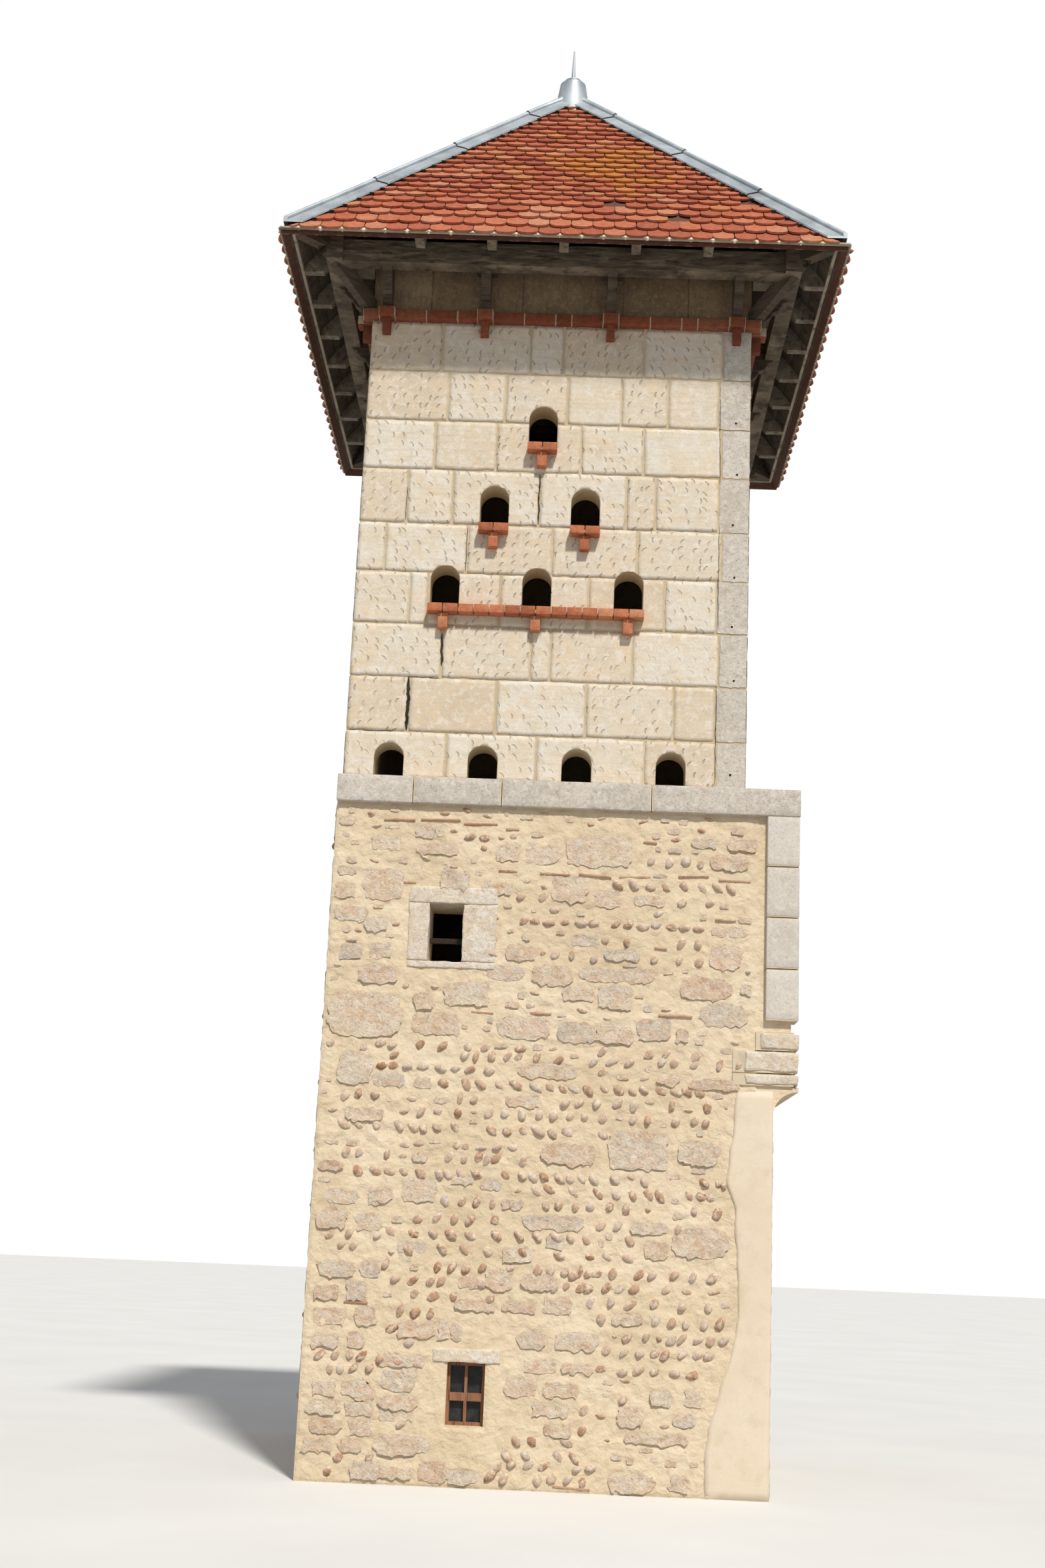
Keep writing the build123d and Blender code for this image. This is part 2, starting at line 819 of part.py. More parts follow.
# Rafters under the slopes, seated on the purlins, their feet cut level behind the fascia
foot_x = eave_x - fascia_width
foot_y = eave_y - fascia_width
rafter_mass = slope_share(
    [(-foot_x, -foot_y), (foot_x, -foot_y), (foot_x, foot_y), (-foot_x, foot_y)],
    roof_void,
    rafter_void,
)


def hip_rafter(x_side, y_side):
    reach = (foot_x + foot_y) * 2
    with BuildPart() as made:
        with BuildSketch(Plane.XY.offset(rafter_foot)):
            with Locations(Location((0, y_side * ridge_half), math.degrees(math.atan2(y_side, x_side)))):
                Rectangle(reach, hip_rafter_width, align=(Align.MIN, Align.CENTER))
        extrude(amount=apex)
        add(rafter_mass, mode=Mode.INTERSECT)
        block(
            sorted((x_side * timber_gap, x_side * foot_x)),
            sorted((0, y_side * foot_y)),
            (rafter_foot, apex),
            mode=Mode.INTERSECT,
        )
        add(eave_purlins.part, mode=Mode.SUBTRACT)
    return made.part


hip_rafter_parts = [hip_rafter(x_side, y_side) for x_side in (-1, 1) for y_side in (-1, 1)]

with BuildPart() as hip_rafters:
    for made in hip_rafter_parts:
        add(made)
keep("hip_rafters", hip_rafters)

half_rafter = rafter_width / 2
with BuildPart() as end_rafters:
    for side in (-1, 1):
        for index in range(front_rafter_count):
            x = (index - (front_rafter_count - 1) / 2) * rafter_step
            near = ridge_half + abs(x)
            block(
                (x - half_rafter, x + half_rafter),
                sorted((side * near, side * foot_y)),
                (rafter_foot, apex),
            )
    add(rafter_mass, mode=Mode.INTERSECT)
    add(hip_rafters.part, mode=Mode.SUBTRACT)
    add(eave_purlins.part, mode=Mode.SUBTRACT)
keep("end_rafters", end_rafters)

with BuildPart() as side_rafters:
    for side in (-1, 1):
        for index in range(side_rafter_count):
            y = (index - (side_rafter_count - 1) / 2) * rafter_step
            near = max(timber_gap, abs(y) - ridge_half)
            block(
                sorted((side * near, side * foot_x)),
                (y - half_rafter, y + half_rafter),
                (rafter_foot, apex),
            )
    add(rafter_mass, mode=Mode.INTERSECT)
    add(hip_rafters.part, mode=Mode.SUBTRACT)
    add(eave_purlins.part, mode=Mode.SUBTRACT)
keep("side_rafters", side_rafters)


# Zinc caps, folded over the hips and the ridge, with a roll along the fold
def hip_cap(x_side, y_side):
    corner = Vector(x_side * tile_x, y_side * tile_y, apex - slope * tile_x)
    top = Vector(0, y_side * ridge_half, apex)
    middle = (corner + top) / 2
    run = top - corner
    turn = math.degrees(math.atan2(run.Y, run.X))
    with BuildPart() as made:
        with BuildSketch():
            with Locations(Location((middle.X, middle.Y), turn)):
                Rectangle(2 * run.length, 2 * cap_width)
        extrude(amount=2 * apex)
        add(cap_mass, mode=Mode.INTERSECT)
        with Locations(Plane(origin=middle + Vector(0, 0, cap_lift), z_dir=run)):
            Cylinder(roll_radius, 2 * run.length)
        block(
            sorted((0, x_side * tile_x)),
            sorted((y_side * ridge_half, y_side * tile_y)),
            (corner.Z, apex + cap_lift + roll_radius),
            mode=Mode.INTERSECT,
        )
        add(roof_mass, mode=Mode.SUBTRACT)
        add(roof_void, mode=Mode.SUBTRACT)
    return made.part


hip_caps = [hip_cap(x_side, y_side) for y_side in (-1, 1) for x_side in (-1, 1)]
with BuildPart() as front_hip_caps:
    for made in hip_caps[:2]:
        add(made)
keep("front_hip_caps", front_hip_caps)

with BuildPart() as back_hip_caps:
    for made in hip_caps[2:]:
        add(made)
keep("back_hip_caps", back_hip_caps)

with BuildPart() as ridge_cap:
    block((-cap_width, cap_width), (-ridge_half, ridge_half), (apex - slope * cap_width, apex + cap_lift))
    add(cap_mass, mode=Mode.INTERSECT)
    with Locations(Plane(origin=(0, 0, apex + cap_lift), z_dir=(0, 1, 0))):
        Cylinder(roll_radius, 2 * ridge_half)
    add(roof_mass, mode=Mode.SUBTRACT)
keep("ridge_cap", ridge_cap)


# Finials: a flared zinc skirt over the end of the ridge, a flange and a spike
def finial(y_side):
    skirt_radius = ridge_half - timber_gap
    foot = apex - slope * skirt_radius + cap_lift
    neck = apex - finial_neck_drop
    shoulder = apex + finial_shoulder_rise
    flange = shoulder + finial_crown_rise
    spike_foot = flange + flange_thickness
    with BuildPart() as made:
        with BuildSketch(Plane.XZ.offset(-y_side * ridge_half)):
            with BuildLine():
                Line((0, foot), (skirt_radius, foot))
                ThreePointArc(
                    (skirt_radius, foot),
                    (skirt_radius * 0.38 + finial_neck_radius * 0.62 - 5, foot * 0.42 + neck * 0.58),
                    (finial_neck_radius, neck),
                )
                Polyline(
                    (finial_neck_radius, neck),
                    (finial_shoulder_radius, shoulder),
                    (spike_radius, flange),
                    (flange_radius, flange),
                    (flange_radius, spike_foot),
                    (spike_radius, spike_foot),
                    (spike_tip_radius, spike_foot + spike_height),
                    (0, spike_foot + spike_height),
                    (0, foot),
                )
            make_face()
        revolve(axis=Axis((0, y_side * ridge_half, 0), (0, 0, 1)))
        add(roof_mass, mode=Mode.SUBTRACT)
        for cap in hip_caps:
            add(cap, mode=Mode.SUBTRACT)
        add(ridge_cap.part, mode=Mode.SUBTRACT)
    return made.part


finial_parts = [finial(-1), finial(1)]
with BuildPart() as front_finial:
    add(finial_parts[0])
keep("front_finial", front_finial)

with BuildPart() as back_finial:
    add(finial_parts[1])
keep("back_finial", back_finial)
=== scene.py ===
import json
import math
import random

import bmesh
import bpy
from mathutils import Matrix, Vector, noise


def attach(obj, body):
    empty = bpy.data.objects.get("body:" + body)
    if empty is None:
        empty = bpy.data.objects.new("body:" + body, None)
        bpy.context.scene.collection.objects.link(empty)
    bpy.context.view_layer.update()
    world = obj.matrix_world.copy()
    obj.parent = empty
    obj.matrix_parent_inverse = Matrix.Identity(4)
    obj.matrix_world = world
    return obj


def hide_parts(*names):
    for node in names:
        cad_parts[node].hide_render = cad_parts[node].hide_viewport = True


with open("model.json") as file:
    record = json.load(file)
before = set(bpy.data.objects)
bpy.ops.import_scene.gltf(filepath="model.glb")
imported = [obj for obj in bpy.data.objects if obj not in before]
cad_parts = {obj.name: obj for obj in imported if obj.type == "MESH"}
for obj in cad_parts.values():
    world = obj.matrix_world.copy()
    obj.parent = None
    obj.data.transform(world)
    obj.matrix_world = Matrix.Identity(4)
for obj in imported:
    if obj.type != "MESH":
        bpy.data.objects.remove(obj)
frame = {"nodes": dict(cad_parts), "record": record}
# without a seed of its own, noise_vector differs from run to run
noise.seed_set(1)
nodes = frame["nodes"]
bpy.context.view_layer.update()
print("frame loaded:", len(nodes), "nodes")


def startMaterial(name):
    material = bpy.data.materials.new(name)
    material.use_nodes = True
    tree = material.node_tree
    shader = tree.nodes["Principled BSDF"]
    place = tree.nodes.new("ShaderNodeTexCoord").outputs["Object"]
    return material, tree, shader, place


def stretched(tree, place, scale):
    mapping = tree.nodes.new("ShaderNodeMapping")
    mapping.inputs["Scale"].default_value = scale
    tree.links.new(place, mapping.inputs["Vector"])
    return mapping.outputs["Vector"]


def grain(tree, place, scale, detail=4, roughness=0.55, distortion=0.0):
    texture = tree.nodes.new("ShaderNodeTexNoise")
    texture.inputs["Scale"].default_value = scale
    texture.inputs["Detail"].default_value = detail
    texture.inputs["Roughness"].default_value = roughness
    texture.inputs["Distortion"].default_value = distortion
    tree.links.new(place, texture.inputs["Vector"])
    return texture.outputs["Fac"]


def cells(tree, place, scale):
    texture = tree.nodes.new("ShaderNodeTexVoronoi")
    texture.inputs["Scale"].default_value = scale
    tree.links.new(place, texture.inputs["Vector"])
    return texture.outputs["Distance"]


def ramp(tree, value, stops):
    node = tree.nodes.new("ShaderNodeValToRGB")
    elements = node.color_ramp.elements
    while len(elements) < len(stops):
        elements.new(0.5)
    for element, (position, colour) in zip(elements, stops):
        element.position = position
        element.color = (*colour, 1)
    tree.links.new(value, node.inputs["Fac"])
    return node.outputs["Color"]


def step(tree, value, low, high):
    node = tree.nodes.new("ShaderNodeMapRange")
    node.inputs["From Min"].default_value = low
    node.inputs["From Max"].default_value = high
    tree.links.new(value, node.inputs["Value"])
    return node.outputs["Result"]


def blend(tree, amount, first, second, kind="MIX"):
    node = tree.nodes.new("ShaderNodeMix")
    node.data_type = "RGBA"
    node.blend_type = kind
    # sockets 6 and 7 are the colour pair of a Mix node
    for socket, value in ((node.inputs[0], amount), (node.inputs[6], first), (node.inputs[7], second)):
        if isinstance(value, bpy.types.NodeSocket):
            tree.links.new(value, socket)
        elif isinstance(value, (int, float)):
            socket.default_value = value
        else:
            socket.default_value = (*value, 1)
    return node.outputs[2]


def calc(tree, kind, first, second=0.0):
    node = tree.nodes.new("ShaderNodeMath")
    node.operation = kind
    for socket, value in ((node.inputs[0], first), (node.inputs[1], second)):
        if isinstance(value, bpy.types.NodeSocket):
            tree.links.new(value, socket)
        else:
            socket.default_value = value
    return node.outputs[0]


def times(tree, first, second):
    return calc(tree, "MULTIPLY", first, second)


def inverse(tree, value):
    return calc(tree, "SUBTRACT", 1.0, value)


def tinted(tree, colour, mask, amount, tone):
    # lays a tone over the colour where the mask is high
    return blend(tree, times(tree, mask, amount), colour, tone)


def darkened(tree, colour, amount, texture, low, dark, high):
    # multiplies the colour by a tone that fades out as the texture rises from low to high
    shade = ramp(tree, texture, [(low, dark), (high, (1.0, 1.0, 1.0))])
    return blend(tree, amount, colour, shade, "MULTIPLY")


def surface(tree, shader, colour, roughness, layers):
    # colour, roughness and relief; a layer of relief is (height, strength, distance)
    tree.links.new(colour, shader.inputs["Base Color"])
    shader.inputs["Roughness"].default_value = roughness
    normal = None
    for height, strength, distance in layers:
        node = tree.nodes.new("ShaderNodeBump")
        node.inputs["Strength"].default_value = strength
        node.inputs["Distance"].default_value = distance
        tree.links.new(height, node.inputs["Height"])
        if normal:
            tree.links.new(normal, node.inputs["Normal"])
        normal = node.outputs["Normal"]
    tree.links.new(normal, shader.inputs["Normal"])


def perPiece(tree):
    return tree.nodes.new("ShaderNodeNewGeometry").outputs["Random Per Island"]


def axis(tree, place, name):
    node = tree.nodes.new("ShaderNodeSeparateXYZ")
    tree.links.new(place, node.inputs[0])
    return node.outputs[name]


def limeMortar(name, tones, lumps=1.0):
    # lime mortar thrown on by hand: broad clouds, small lumps and sand
    material, tree, shader, place = startMaterial(name)
    clouds = grain(tree, place, 1.3, 5, 0.6, 0.4)
    blotches = grain(tree, place, 9.0, 5, 0.65)
    sand = grain(tree, place, 230.0, 3, 0.7)
    base = ramp(tree, clouds, [(0.32, tones[0]), (0.52, tones[1]), (0.72, tones[2])])
    worn = blend(tree, step(tree, blotches, 0.52, 0.75), base, tones[3])
    colour = darkened(tree, worn, 0.7, sand, 0.35, (0.86, 0.84, 0.8), 0.6)
    wave = grain(tree, place, 11.0, 3, 0.5, 0.3)
    trowel = grain(tree, place, 42.0, 5, 0.65)
    layers = [(wave, 0.55 * lumps, 0.03), (trowel, 0.45 * lumps, 0.008), (sand, 0.25, 0.002)]
    surface(tree, shader, colour, 0.93, layers)
    return material


def pickMarks(tree, place, own, dense=11.0):
    # short curved strokes of a pick: one in most cells of a loose lattice on the wall's face
    along = calc(tree, "ADD", axis(tree, place, "X"), axis(tree, place, "Y"))
    flat = tree.nodes.new("ShaderNodeCombineXYZ")
    tree.links.new(times(tree, along, dense), flat.inputs[0])
    tree.links.new(times(tree, axis(tree, place, "Z"), dense * 1.15), flat.inputs[1])
    lattice = tree.nodes.new("ShaderNodeTexVoronoi")
    lattice.voronoi_dimensions = "2D"
    lattice.inputs["Scale"].default_value = 1.0
    lattice.inputs["Randomness"].default_value = 0.75
    tree.links.new(flat.outputs[0], lattice.inputs["Vector"])
    away = tree.nodes.new("ShaderNodeVectorMath")
    away.operation = "SUBTRACT"
    tree.links.new(flat.outputs[0], away.inputs[0])
    tree.links.new(lattice.outputs["Position"], away.inputs[1])
    tone = tree.nodes.new("ShaderNodeSeparateColor")
    tree.links.new(lattice.outputs["Color"], tone.inputs[0])
    turned = tree.nodes.new("ShaderNodeVectorRotate")
    turned.rotation_type = "Z_AXIS"
    tree.links.new(away.outputs[0], turned.inputs["Vector"])
    # most stones are struck from the upper left, some from the upper right
    slant = calc(tree, "ADD", times(tree, tone.outputs[0], 0.7), 0.85)
    hand = calc(tree, "SUBTRACT", times(tree, calc(tree, "GREATER_THAN", own, 0.45), 2.0), 1.0)
    tree.links.new(times(tree, slant, hand), turned.inputs["Angle"])
    # each stroke is a bent ellipse, far longer than it is wide
    a = axis(tree, turned.outputs[0], "X")
    bend = times(tree, times(tree, a, a), 0.9)
    b = calc(tree, "ADD", axis(tree, turned.outputs[0], "Y"), bend)
    lengthwise = calc(tree, "POWER", times(tree, a, 3.2), 2.0)
    crosswise = calc(tree, "POWER", times(tree, b, 15.0), 2.0)
    reach = calc(tree, "ADD", lengthwise, crosswise)
    stroke = inverse(tree, step(tree, reach, 0.25, 1.1))
    return times(tree, stroke, step(tree, tone.outputs[1], 0.16, 0.42))


def cutStone(name, tones, marks=0.0, pits=0.0, stain=None, mottle=0.55, patches=(), craggy=0.0):
    # stone: a tone for each block, with weathering, pits, pick marks and crags
    material, tree, shader, place = startMaterial(name)
    own = perPiece(tree)
    clouds = grain(tree, place, 4.2, 6, 0.62, 0.5)
    fine = grain(tree, place, 70.0, 5, 0.7)
    base = ramp(tree, own, [(0.0, tones[0]), (0.5, tones[1]), (1.0, tones[2])])
    cloudy = blend(tree, step(tree, clouds, 0.42, 0.7), base, tones[3])
    colour = darkened(tree, cloudy, mottle, fine, 0.32, (0.8, 0.77, 0.72), 0.55)
    for scale, low, high, amount, tone in patches:
        if isinstance(scale, tuple):
            texture = grain(tree, stretched(tree, place, scale), 1.0, 5, 0.65, 0.4)
        else:
            texture = grain(tree, place, scale, 6, 0.72, 0.6)
        colour = tinted(tree, colour, step(tree, texture, low, high), amount, tone)
    if stain:
        patch = step(tree, grain(tree, place, 2.4, 5, 0.7, 0.8), 0.6, 0.72)
        colour = tinted(tree, colour, patch, 0.5, stain)
    layers = [(clouds, 0.4, 0.012), (fine, 0.35, 0.003)]
    if pits:
        hollow = step(tree, cells(tree, place, 26.0), 0.02, 0.16)
        # painted shade: the pits are darkened towards the last tone in their hollows
        colour = tinted(tree, colour, inverse(tree, hollow), 0.5, tones[4])
        layers.append((hollow, pits, 0.006))
    if marks:
        worked = step(tree, calc(tree, "FRACT", times(tree, own, 7.3)), 0.12, 0.4)
        groove = times(tree, pickMarks(tree, place, own), worked)
        layers.append((inverse(tree, groove), marks, 0.012))
        # painted shade: the grooves of the pick marks are darkened towards the last tone
        colour = tinted(tree, colour, groove, 0.17, tones[4])
    if craggy:
        crags = grain(tree, place, 15.0, 6, 0.72, 0.3)
        # painted shade: darker where the crags' relief is low
        colour = darkened(tree, colour, min(0.7, 1.4 * craggy), crags, 0.34, (0.76, 0.64, 0.53), 0.46)
        layers.append((crags, craggy, 0.03))
    surface(tree, shader, colour, 0.88, layers)
    return material


def burntClay(name, tones, lichen, lichenAmount, dust=0.0, gathered=None):
    # bricks, tiles and shards: a tone for each, with lichen, soot and chalky wear
    material, tree, shader, place = startMaterial(name)
    own = perPiece(tree)
    patchy = grain(tree, place, 2.1, 4, 0.6, 0.6)
    mottle = grain(tree, place, 26.0, 5, 0.7)
    fine = grain(tree, place, 160.0, 3, 0.6)
    base = ramp(tree, own, [(0.0, tones[0]), (0.35, tones[1]), (0.7, tones[2]), (1.0, tones[3])])
    shaded = darkened(tree, base, 0.9, mottle, 0.3, (0.58, 0.52, 0.5), 0.6)
    seed = calc(tree, "ADD", patchy, times(tree, own, 0.18))
    if gathered:
        away = tree.nodes.new("ShaderNodeVectorMath")
        away.operation = "DISTANCE"
        tree.links.new(place, away.inputs[0])
        away.inputs[1].default_value = gathered
        nearby = inverse(tree, step(tree, away.outputs["Value"], 0.15, 1.0))
        seed = calc(tree, "ADD", times(tree, nearby, 0.26), calc(tree, "SUBTRACT", seed, 0.05))
    growth = times(tree, step(tree, seed, 0.66, 0.8), step(tree, mottle, 0.36, 0.5))
    colour = tinted(tree, shaded, growth, lichenAmount, lichen)
    if dust:
        chalk = step(tree, grain(tree, place, 40.0, 6, 0.75), 0.58, 0.7)
        colour = tinted(tree, colour, chalk, dust, (0.62, 0.56, 0.47))
    surface(tree, shader, colour, 0.85, [(mottle, 0.35, 0.004), (fine, 0.3, 0.0015)])
    return material


def weatheredWood(name, tones, lengthwise=(2.2, 2.2, 34.0)):
    # old timber: streaks along the grain, checks and a grey bloom
    material, tree, shader, place = startMaterial(name)
    along = stretched(tree, place, lengthwise)
    streaks = grain(tree, along, 1.4, 6, 0.65, 0.6)
    checks = grain(tree, stretched(tree, place, tuple(2.4 * v for v in lengthwise)), 1.0, 3, 0.5)
    bloom = grain(tree, place, 5.0, 4, 0.6)
    base = ramp(tree, streaks, [(0.3, tones[0]), (0.5, tones[1]), (0.68, tones[2])])
    colour = tinted(tree, base, step(tree, bloom, 0.5, 0.7), 0.6, tones[3])
    # painted shade: darker in the checks
    colour = darkened(tree, colour, 1.0, checks, 0.33, (0.45, 0.42, 0.4), 0.42)
    surface(tree, shader, colour, 0.82, [(streaks, 0.5, 0.006), (checks, 0.5, 0.004)])
    return material


rubbleMortar = limeMortar(
    "rubbleMortar",
    [(0.72, 0.58, 0.40), (0.81, 0.67, 0.48), (0.85, 0.73, 0.56), (0.70, 0.55, 0.37)],
    lumps=1.4,
)
pierRender = limeMortar(
    "pierRender",
    [(0.79, 0.66, 0.50), (0.84, 0.72, 0.57), (0.86, 0.75, 0.61), (0.75, 0.62, 0.46)],
    lumps=0.15,
)
ashlarMortar = limeMortar(
    "ashlarMortar",
    [(0.56, 0.44, 0.28), (0.64, 0.52, 0.35), (0.70, 0.59, 0.43), (0.50, 0.39, 0.25)],
    lumps=0.3,
)
courseMortar = limeMortar(
    "courseMortar",
    [(0.64, 0.54, 0.38), (0.70, 0.60, 0.44), (0.74, 0.64, 0.50), (0.50, 0.42, 0.30)],
    lumps=0.3,
)
brickMortar = limeMortar(
    "brickMortar",
    [(0.50, 0.40, 0.28), (0.56, 0.46, 0.33), (0.62, 0.52, 0.39), (0.36, 0.26, 0.19)],
    lumps=0.4,
)
ashlarStone = cutStone(
    "ashlarStone",
    [(0.68, 0.56, 0.42), (0.775, 0.70, 0.59), (0.80, 0.75, 0.67), (0.75, 0.65, 0.50), (0.34, 0.25, 0.15)],
    marks=0.95,
    stain=(0.74, 0.54, 0.32),
    mottle=0.75,
    patches=(
        (4.0, 0.49, 0.62, 0.5, (0.78, 0.61, 0.42)),
        ((4.0, 4.0, 46.0), 0.5, 0.62, 0.35, (0.62, 0.50, 0.35)),
        (11.0, 0.56, 0.64, 0.4, (0.58, 0.47, 0.34)),
        (16.0, 0.52, 0.60, 0.5, (0.84, 0.80, 0.73)),
    ),
    craggy=0.15,
)
# painted shade: the frieze is made far darker than the ashlar below it, for the shade under the eaves
shadedFriezeStone = cutStone(
    "shadedFriezeStone",
    [(0.27, 0.185, 0.10), (0.32, 0.225, 0.13), (0.36, 0.265, 0.16), (0.20, 0.135, 0.075), (0.10, 0.07, 0.05)],
    pits=0.4,
    stain=(0.40, 0.30, 0.19),
    mottle=1.0,
    patches=(
        ((9.0, 9.0, 2.4), 0.47, 0.62, 0.55, (0.17, 0.115, 0.065)),
        (26.0, 0.5, 0.62, 0.4, (0.44, 0.34, 0.22)),
        ((40.0, 40.0, 9.0), 0.54, 0.62, 0.4, (0.13, 0.09, 0.05)),
    ),
)
greyStone = cutStone(
    "greyStone",
    [(0.57, 0.52, 0.465), (0.625, 0.58, 0.52), (0.675, 0.63, 0.575), (0.69, 0.625, 0.54), (0.24, 0.20, 0.16)],
    pits=0.6,
    stain=(0.38, 0.33, 0.27),
    mottle=1.0,
    patches=(
        (5.0, 0.49, 0.6, 0.6, (0.48, 0.43, 0.37)),
        (20.0, 0.51, 0.6, 0.6, (0.76, 0.715, 0.655)),
        (44.0, 0.55, 0.62, 0.5, (0.34, 0.29, 0.23)),
    ),
    craggy=0.4,
)
quoinStone = cutStone(
    "quoinStone",
    [(0.60, 0.55, 0.49), (0.655, 0.61, 0.555), (0.695, 0.65, 0.595), (0.69, 0.635, 0.56), (0.30, 0.25, 0.20)],
    pits=0.4,
    stain=(0.54, 0.47, 0.38),
    mottle=0.9,
    patches=((8.0, 0.5, 0.62, 0.4, (0.56, 0.50, 0.42)), (22.0, 0.52, 0.6, 0.5, (0.76, 0.71, 0.64))),
)
rubbleStone = cutStone(
    "rubbleStone",
    [(0.72, 0.53, 0.39), (0.82, 0.70, 0.56), (0.64, 0.575, 0.50), (0.82, 0.69, 0.51), (0.46, 0.29, 0.18)],
    pits=0.5,
    stain=(0.62, 0.42, 0.27),
    mottle=1.0,
    patches=(
        (8.0, 0.47, 0.6, 0.6, (0.74, 0.49, 0.32)),
        (24.0, 0.5, 0.6, 0.55, (0.84, 0.77, 0.68)),
        (38.0, 0.54, 0.62, 0.55, (0.52, 0.33, 0.21)),
        (12.0, 0.57, 0.66, 0.6, (0.83, 0.70, 0.51)),
    ),
    craggy=0.85,
)
paleRubble = cutStone(
    "paleRubble",
    [(0.74, 0.63, 0.51), (0.78, 0.69, 0.58), (0.80, 0.72, 0.61), (0.78, 0.65, 0.48), (0.45, 0.33, 0.24)],
    pits=0.5,
    stain=(0.70, 0.53, 0.37),
    mottle=0.9,
    patches=(
        (8.0, 0.5, 0.6, 0.6, (0.68, 0.52, 0.40)),
        (22.0, 0.5, 0.58, 0.7, (0.83, 0.79, 0.73)),
        (50.0, 0.56, 0.63, 0.5, (0.56, 0.42, 0.32)),
    ),
    craggy=0.6,
)
pebbleStone = cutStone(
    "pebbleStone",
    [(0.36, 0.17, 0.08), (0.46, 0.28, 0.17), (0.58, 0.49, 0.42), (0.70, 0.56, 0.42), (0.24, 0.15, 0.10)],
    stain=(0.76, 0.64, 0.48),
    mottle=1.0,
    patches=(
        (14.0, 0.5, 0.6, 0.6, (0.60, 0.40, 0.28)),
        (26.0, 0.49, 0.58, 0.75, (0.76, 0.67, 0.55)),
        (60.0, 0.55, 0.63, 0.5, (0.30, 0.17, 0.10)),
    ),
)
brickClay = burntClay(
    "brickClay",
    [(0.40, 0.12, 0.05), (0.52, 0.165, 0.07), (0.62, 0.21, 0.095), (0.64, 0.28, 0.14)],
    (0.34, 0.23, 0.14),
    0.5,
    dust=0.3,
)
# painted shade: these bricks are made far darker than the perches' clay, for the shade under the eaves
shadedBandClay = burntClay(
    "shadedBandClay",
    [(0.18, 0.042, 0.017), (0.235, 0.058, 0.023), (0.29, 0.08, 0.034), (0.31, 0.11, 0.052)],
    (0.20, 0.12, 0.07),
    0.5,
    dust=0.08,
)
# painted shade: the slopes under the tiles are a near black clay, for the shade seen where tiles are missing
shadedUnderTile = burntClay(
    "shadedUnderTile",
    [(0.10, 0.035, 0.02), (0.13, 0.05, 0.03), (0.16, 0.065, 0.04), (0.12, 0.05, 0.03)],
    (0.08, 0.06, 0.04),
    0.5,
)
tileClay = burntClay(
    "tileClay",
    [(0.37, 0.09, 0.045), (0.48, 0.13, 0.062), (0.55, 0.175, 0.085), (0.60, 0.26, 0.15)],
    (0.50, 0.19, 0.025),
    0.85,
    dust=0.3,
    gathered=(0.25, -1.42, 10.1),
)
shardClay = burntClay(
    "shardClay",
    [(0.46, 0.24, 0.14), (0.54, 0.32, 0.20), (0.60, 0.40, 0.27), (0.50, 0.26, 0.15)],
    (0.60, 0.50, 0.34),
    0.9,
    dust=0.6,
)
darkTimber = weatheredWood(
    "darkTimber",
    [(0.040, 0.026, 0.015), (0.078, 0.053, 0.033), (0.125, 0.088, 0.058), (0.13, 0.10, 0.07)],
)
# painted shade: the slit's bar is near black, for the shade inside the slit
shadedBarTimber = weatheredWood(
    "shadedBarTimber",
    [(0.011, 0.006, 0.003), (0.022, 0.012, 0.006), (0.034, 0.019, 0.009), (0.028, 0.017, 0.009)],
    lengthwise=(34.0, 2.2, 34.0),
)
purlinTimber = weatheredWood(
    "purlinTimber",
    [(0.045, 0.032, 0.020), (0.13, 0.10, 0.066), (0.29, 0.23, 0.165), (0.19, 0.15, 0.11)],
    lengthwise=(3.0, 3.0, 20.0),
)
feetTimber = weatheredWood(
    "feetTimber",
    [(0.10, 0.08, 0.055), (0.20, 0.16, 0.12), (0.34, 0.29, 0.22), (0.30, 0.26, 0.2)],
    lengthwise=(8.0, 8.0, 8.0),
)
roofBoards = weatheredWood(
    "roofBoards",
    [(0.050, 0.034, 0.022), (0.085, 0.062, 0.042), (0.13, 0.10, 0.075), (0.17, 0.145, 0.12)],
    lengthwise=(9.0, 9.0, 9.0),
)
paleBoards = weatheredWood(
    "paleBoards",
    [(0.30, 0.25, 0.18), (0.40, 0.34, 0.25), (0.48, 0.42, 0.32), (0.36, 0.32, 0.26)],
)
paintedFrame = weatheredWood(
    "paintedFrame",
    [(0.22, 0.09, 0.045), (0.30, 0.13, 0.065), (0.36, 0.17, 0.09), (0.26, 0.14, 0.09)],
    lengthwise=(26.0, 26.0, 2.0),
)

zincSheet, tree, shader, place = startMaterial("zincSheet")
patina = grain(tree, place, 3.0, 5, 0.6, 0.4)
streak = grain(tree, stretched(tree, place, (9.0, 9.0, 2.0)), 1.5, 4, 0.6)
tones = [(0.35, (0.36, 0.41, 0.45)), (0.6, (0.50, 0.55, 0.59)), (0.75, (0.58, 0.61, 0.62))]
washed = darkened(tree, ramp(tree, patina, tones), 0.5, streak, 0.35, (0.75, 0.76, 0.78), 0.6)
surface(tree, shader, washed, 0.5, [(patina, 0.25, 0.006), (streak, 0.1, 0.003)])
shader.inputs["Metallic"].default_value = 0.35
tree.links.new(step(tree, patina, -0.6, 1.6), shader.inputs["Roughness"])

windowGlass, tree, shader, place = startMaterial("windowGlass")
smear = grain(tree, place, 18.0, 3, 0.5)
# painted shade: the panes are near black for the dark room behind them, with a faint smear
paneShadeAndSmears = ramp(tree, smear, [(0.3, (0.02, 0.022, 0.024)), (0.7, (0.05, 0.052, 0.05))])
surface(tree, shader, paneShadeAndSmears, 0.2, [(smear, 0.08, 0.002)])
shader.inputs["Specular IOR Level"].default_value = 0.25

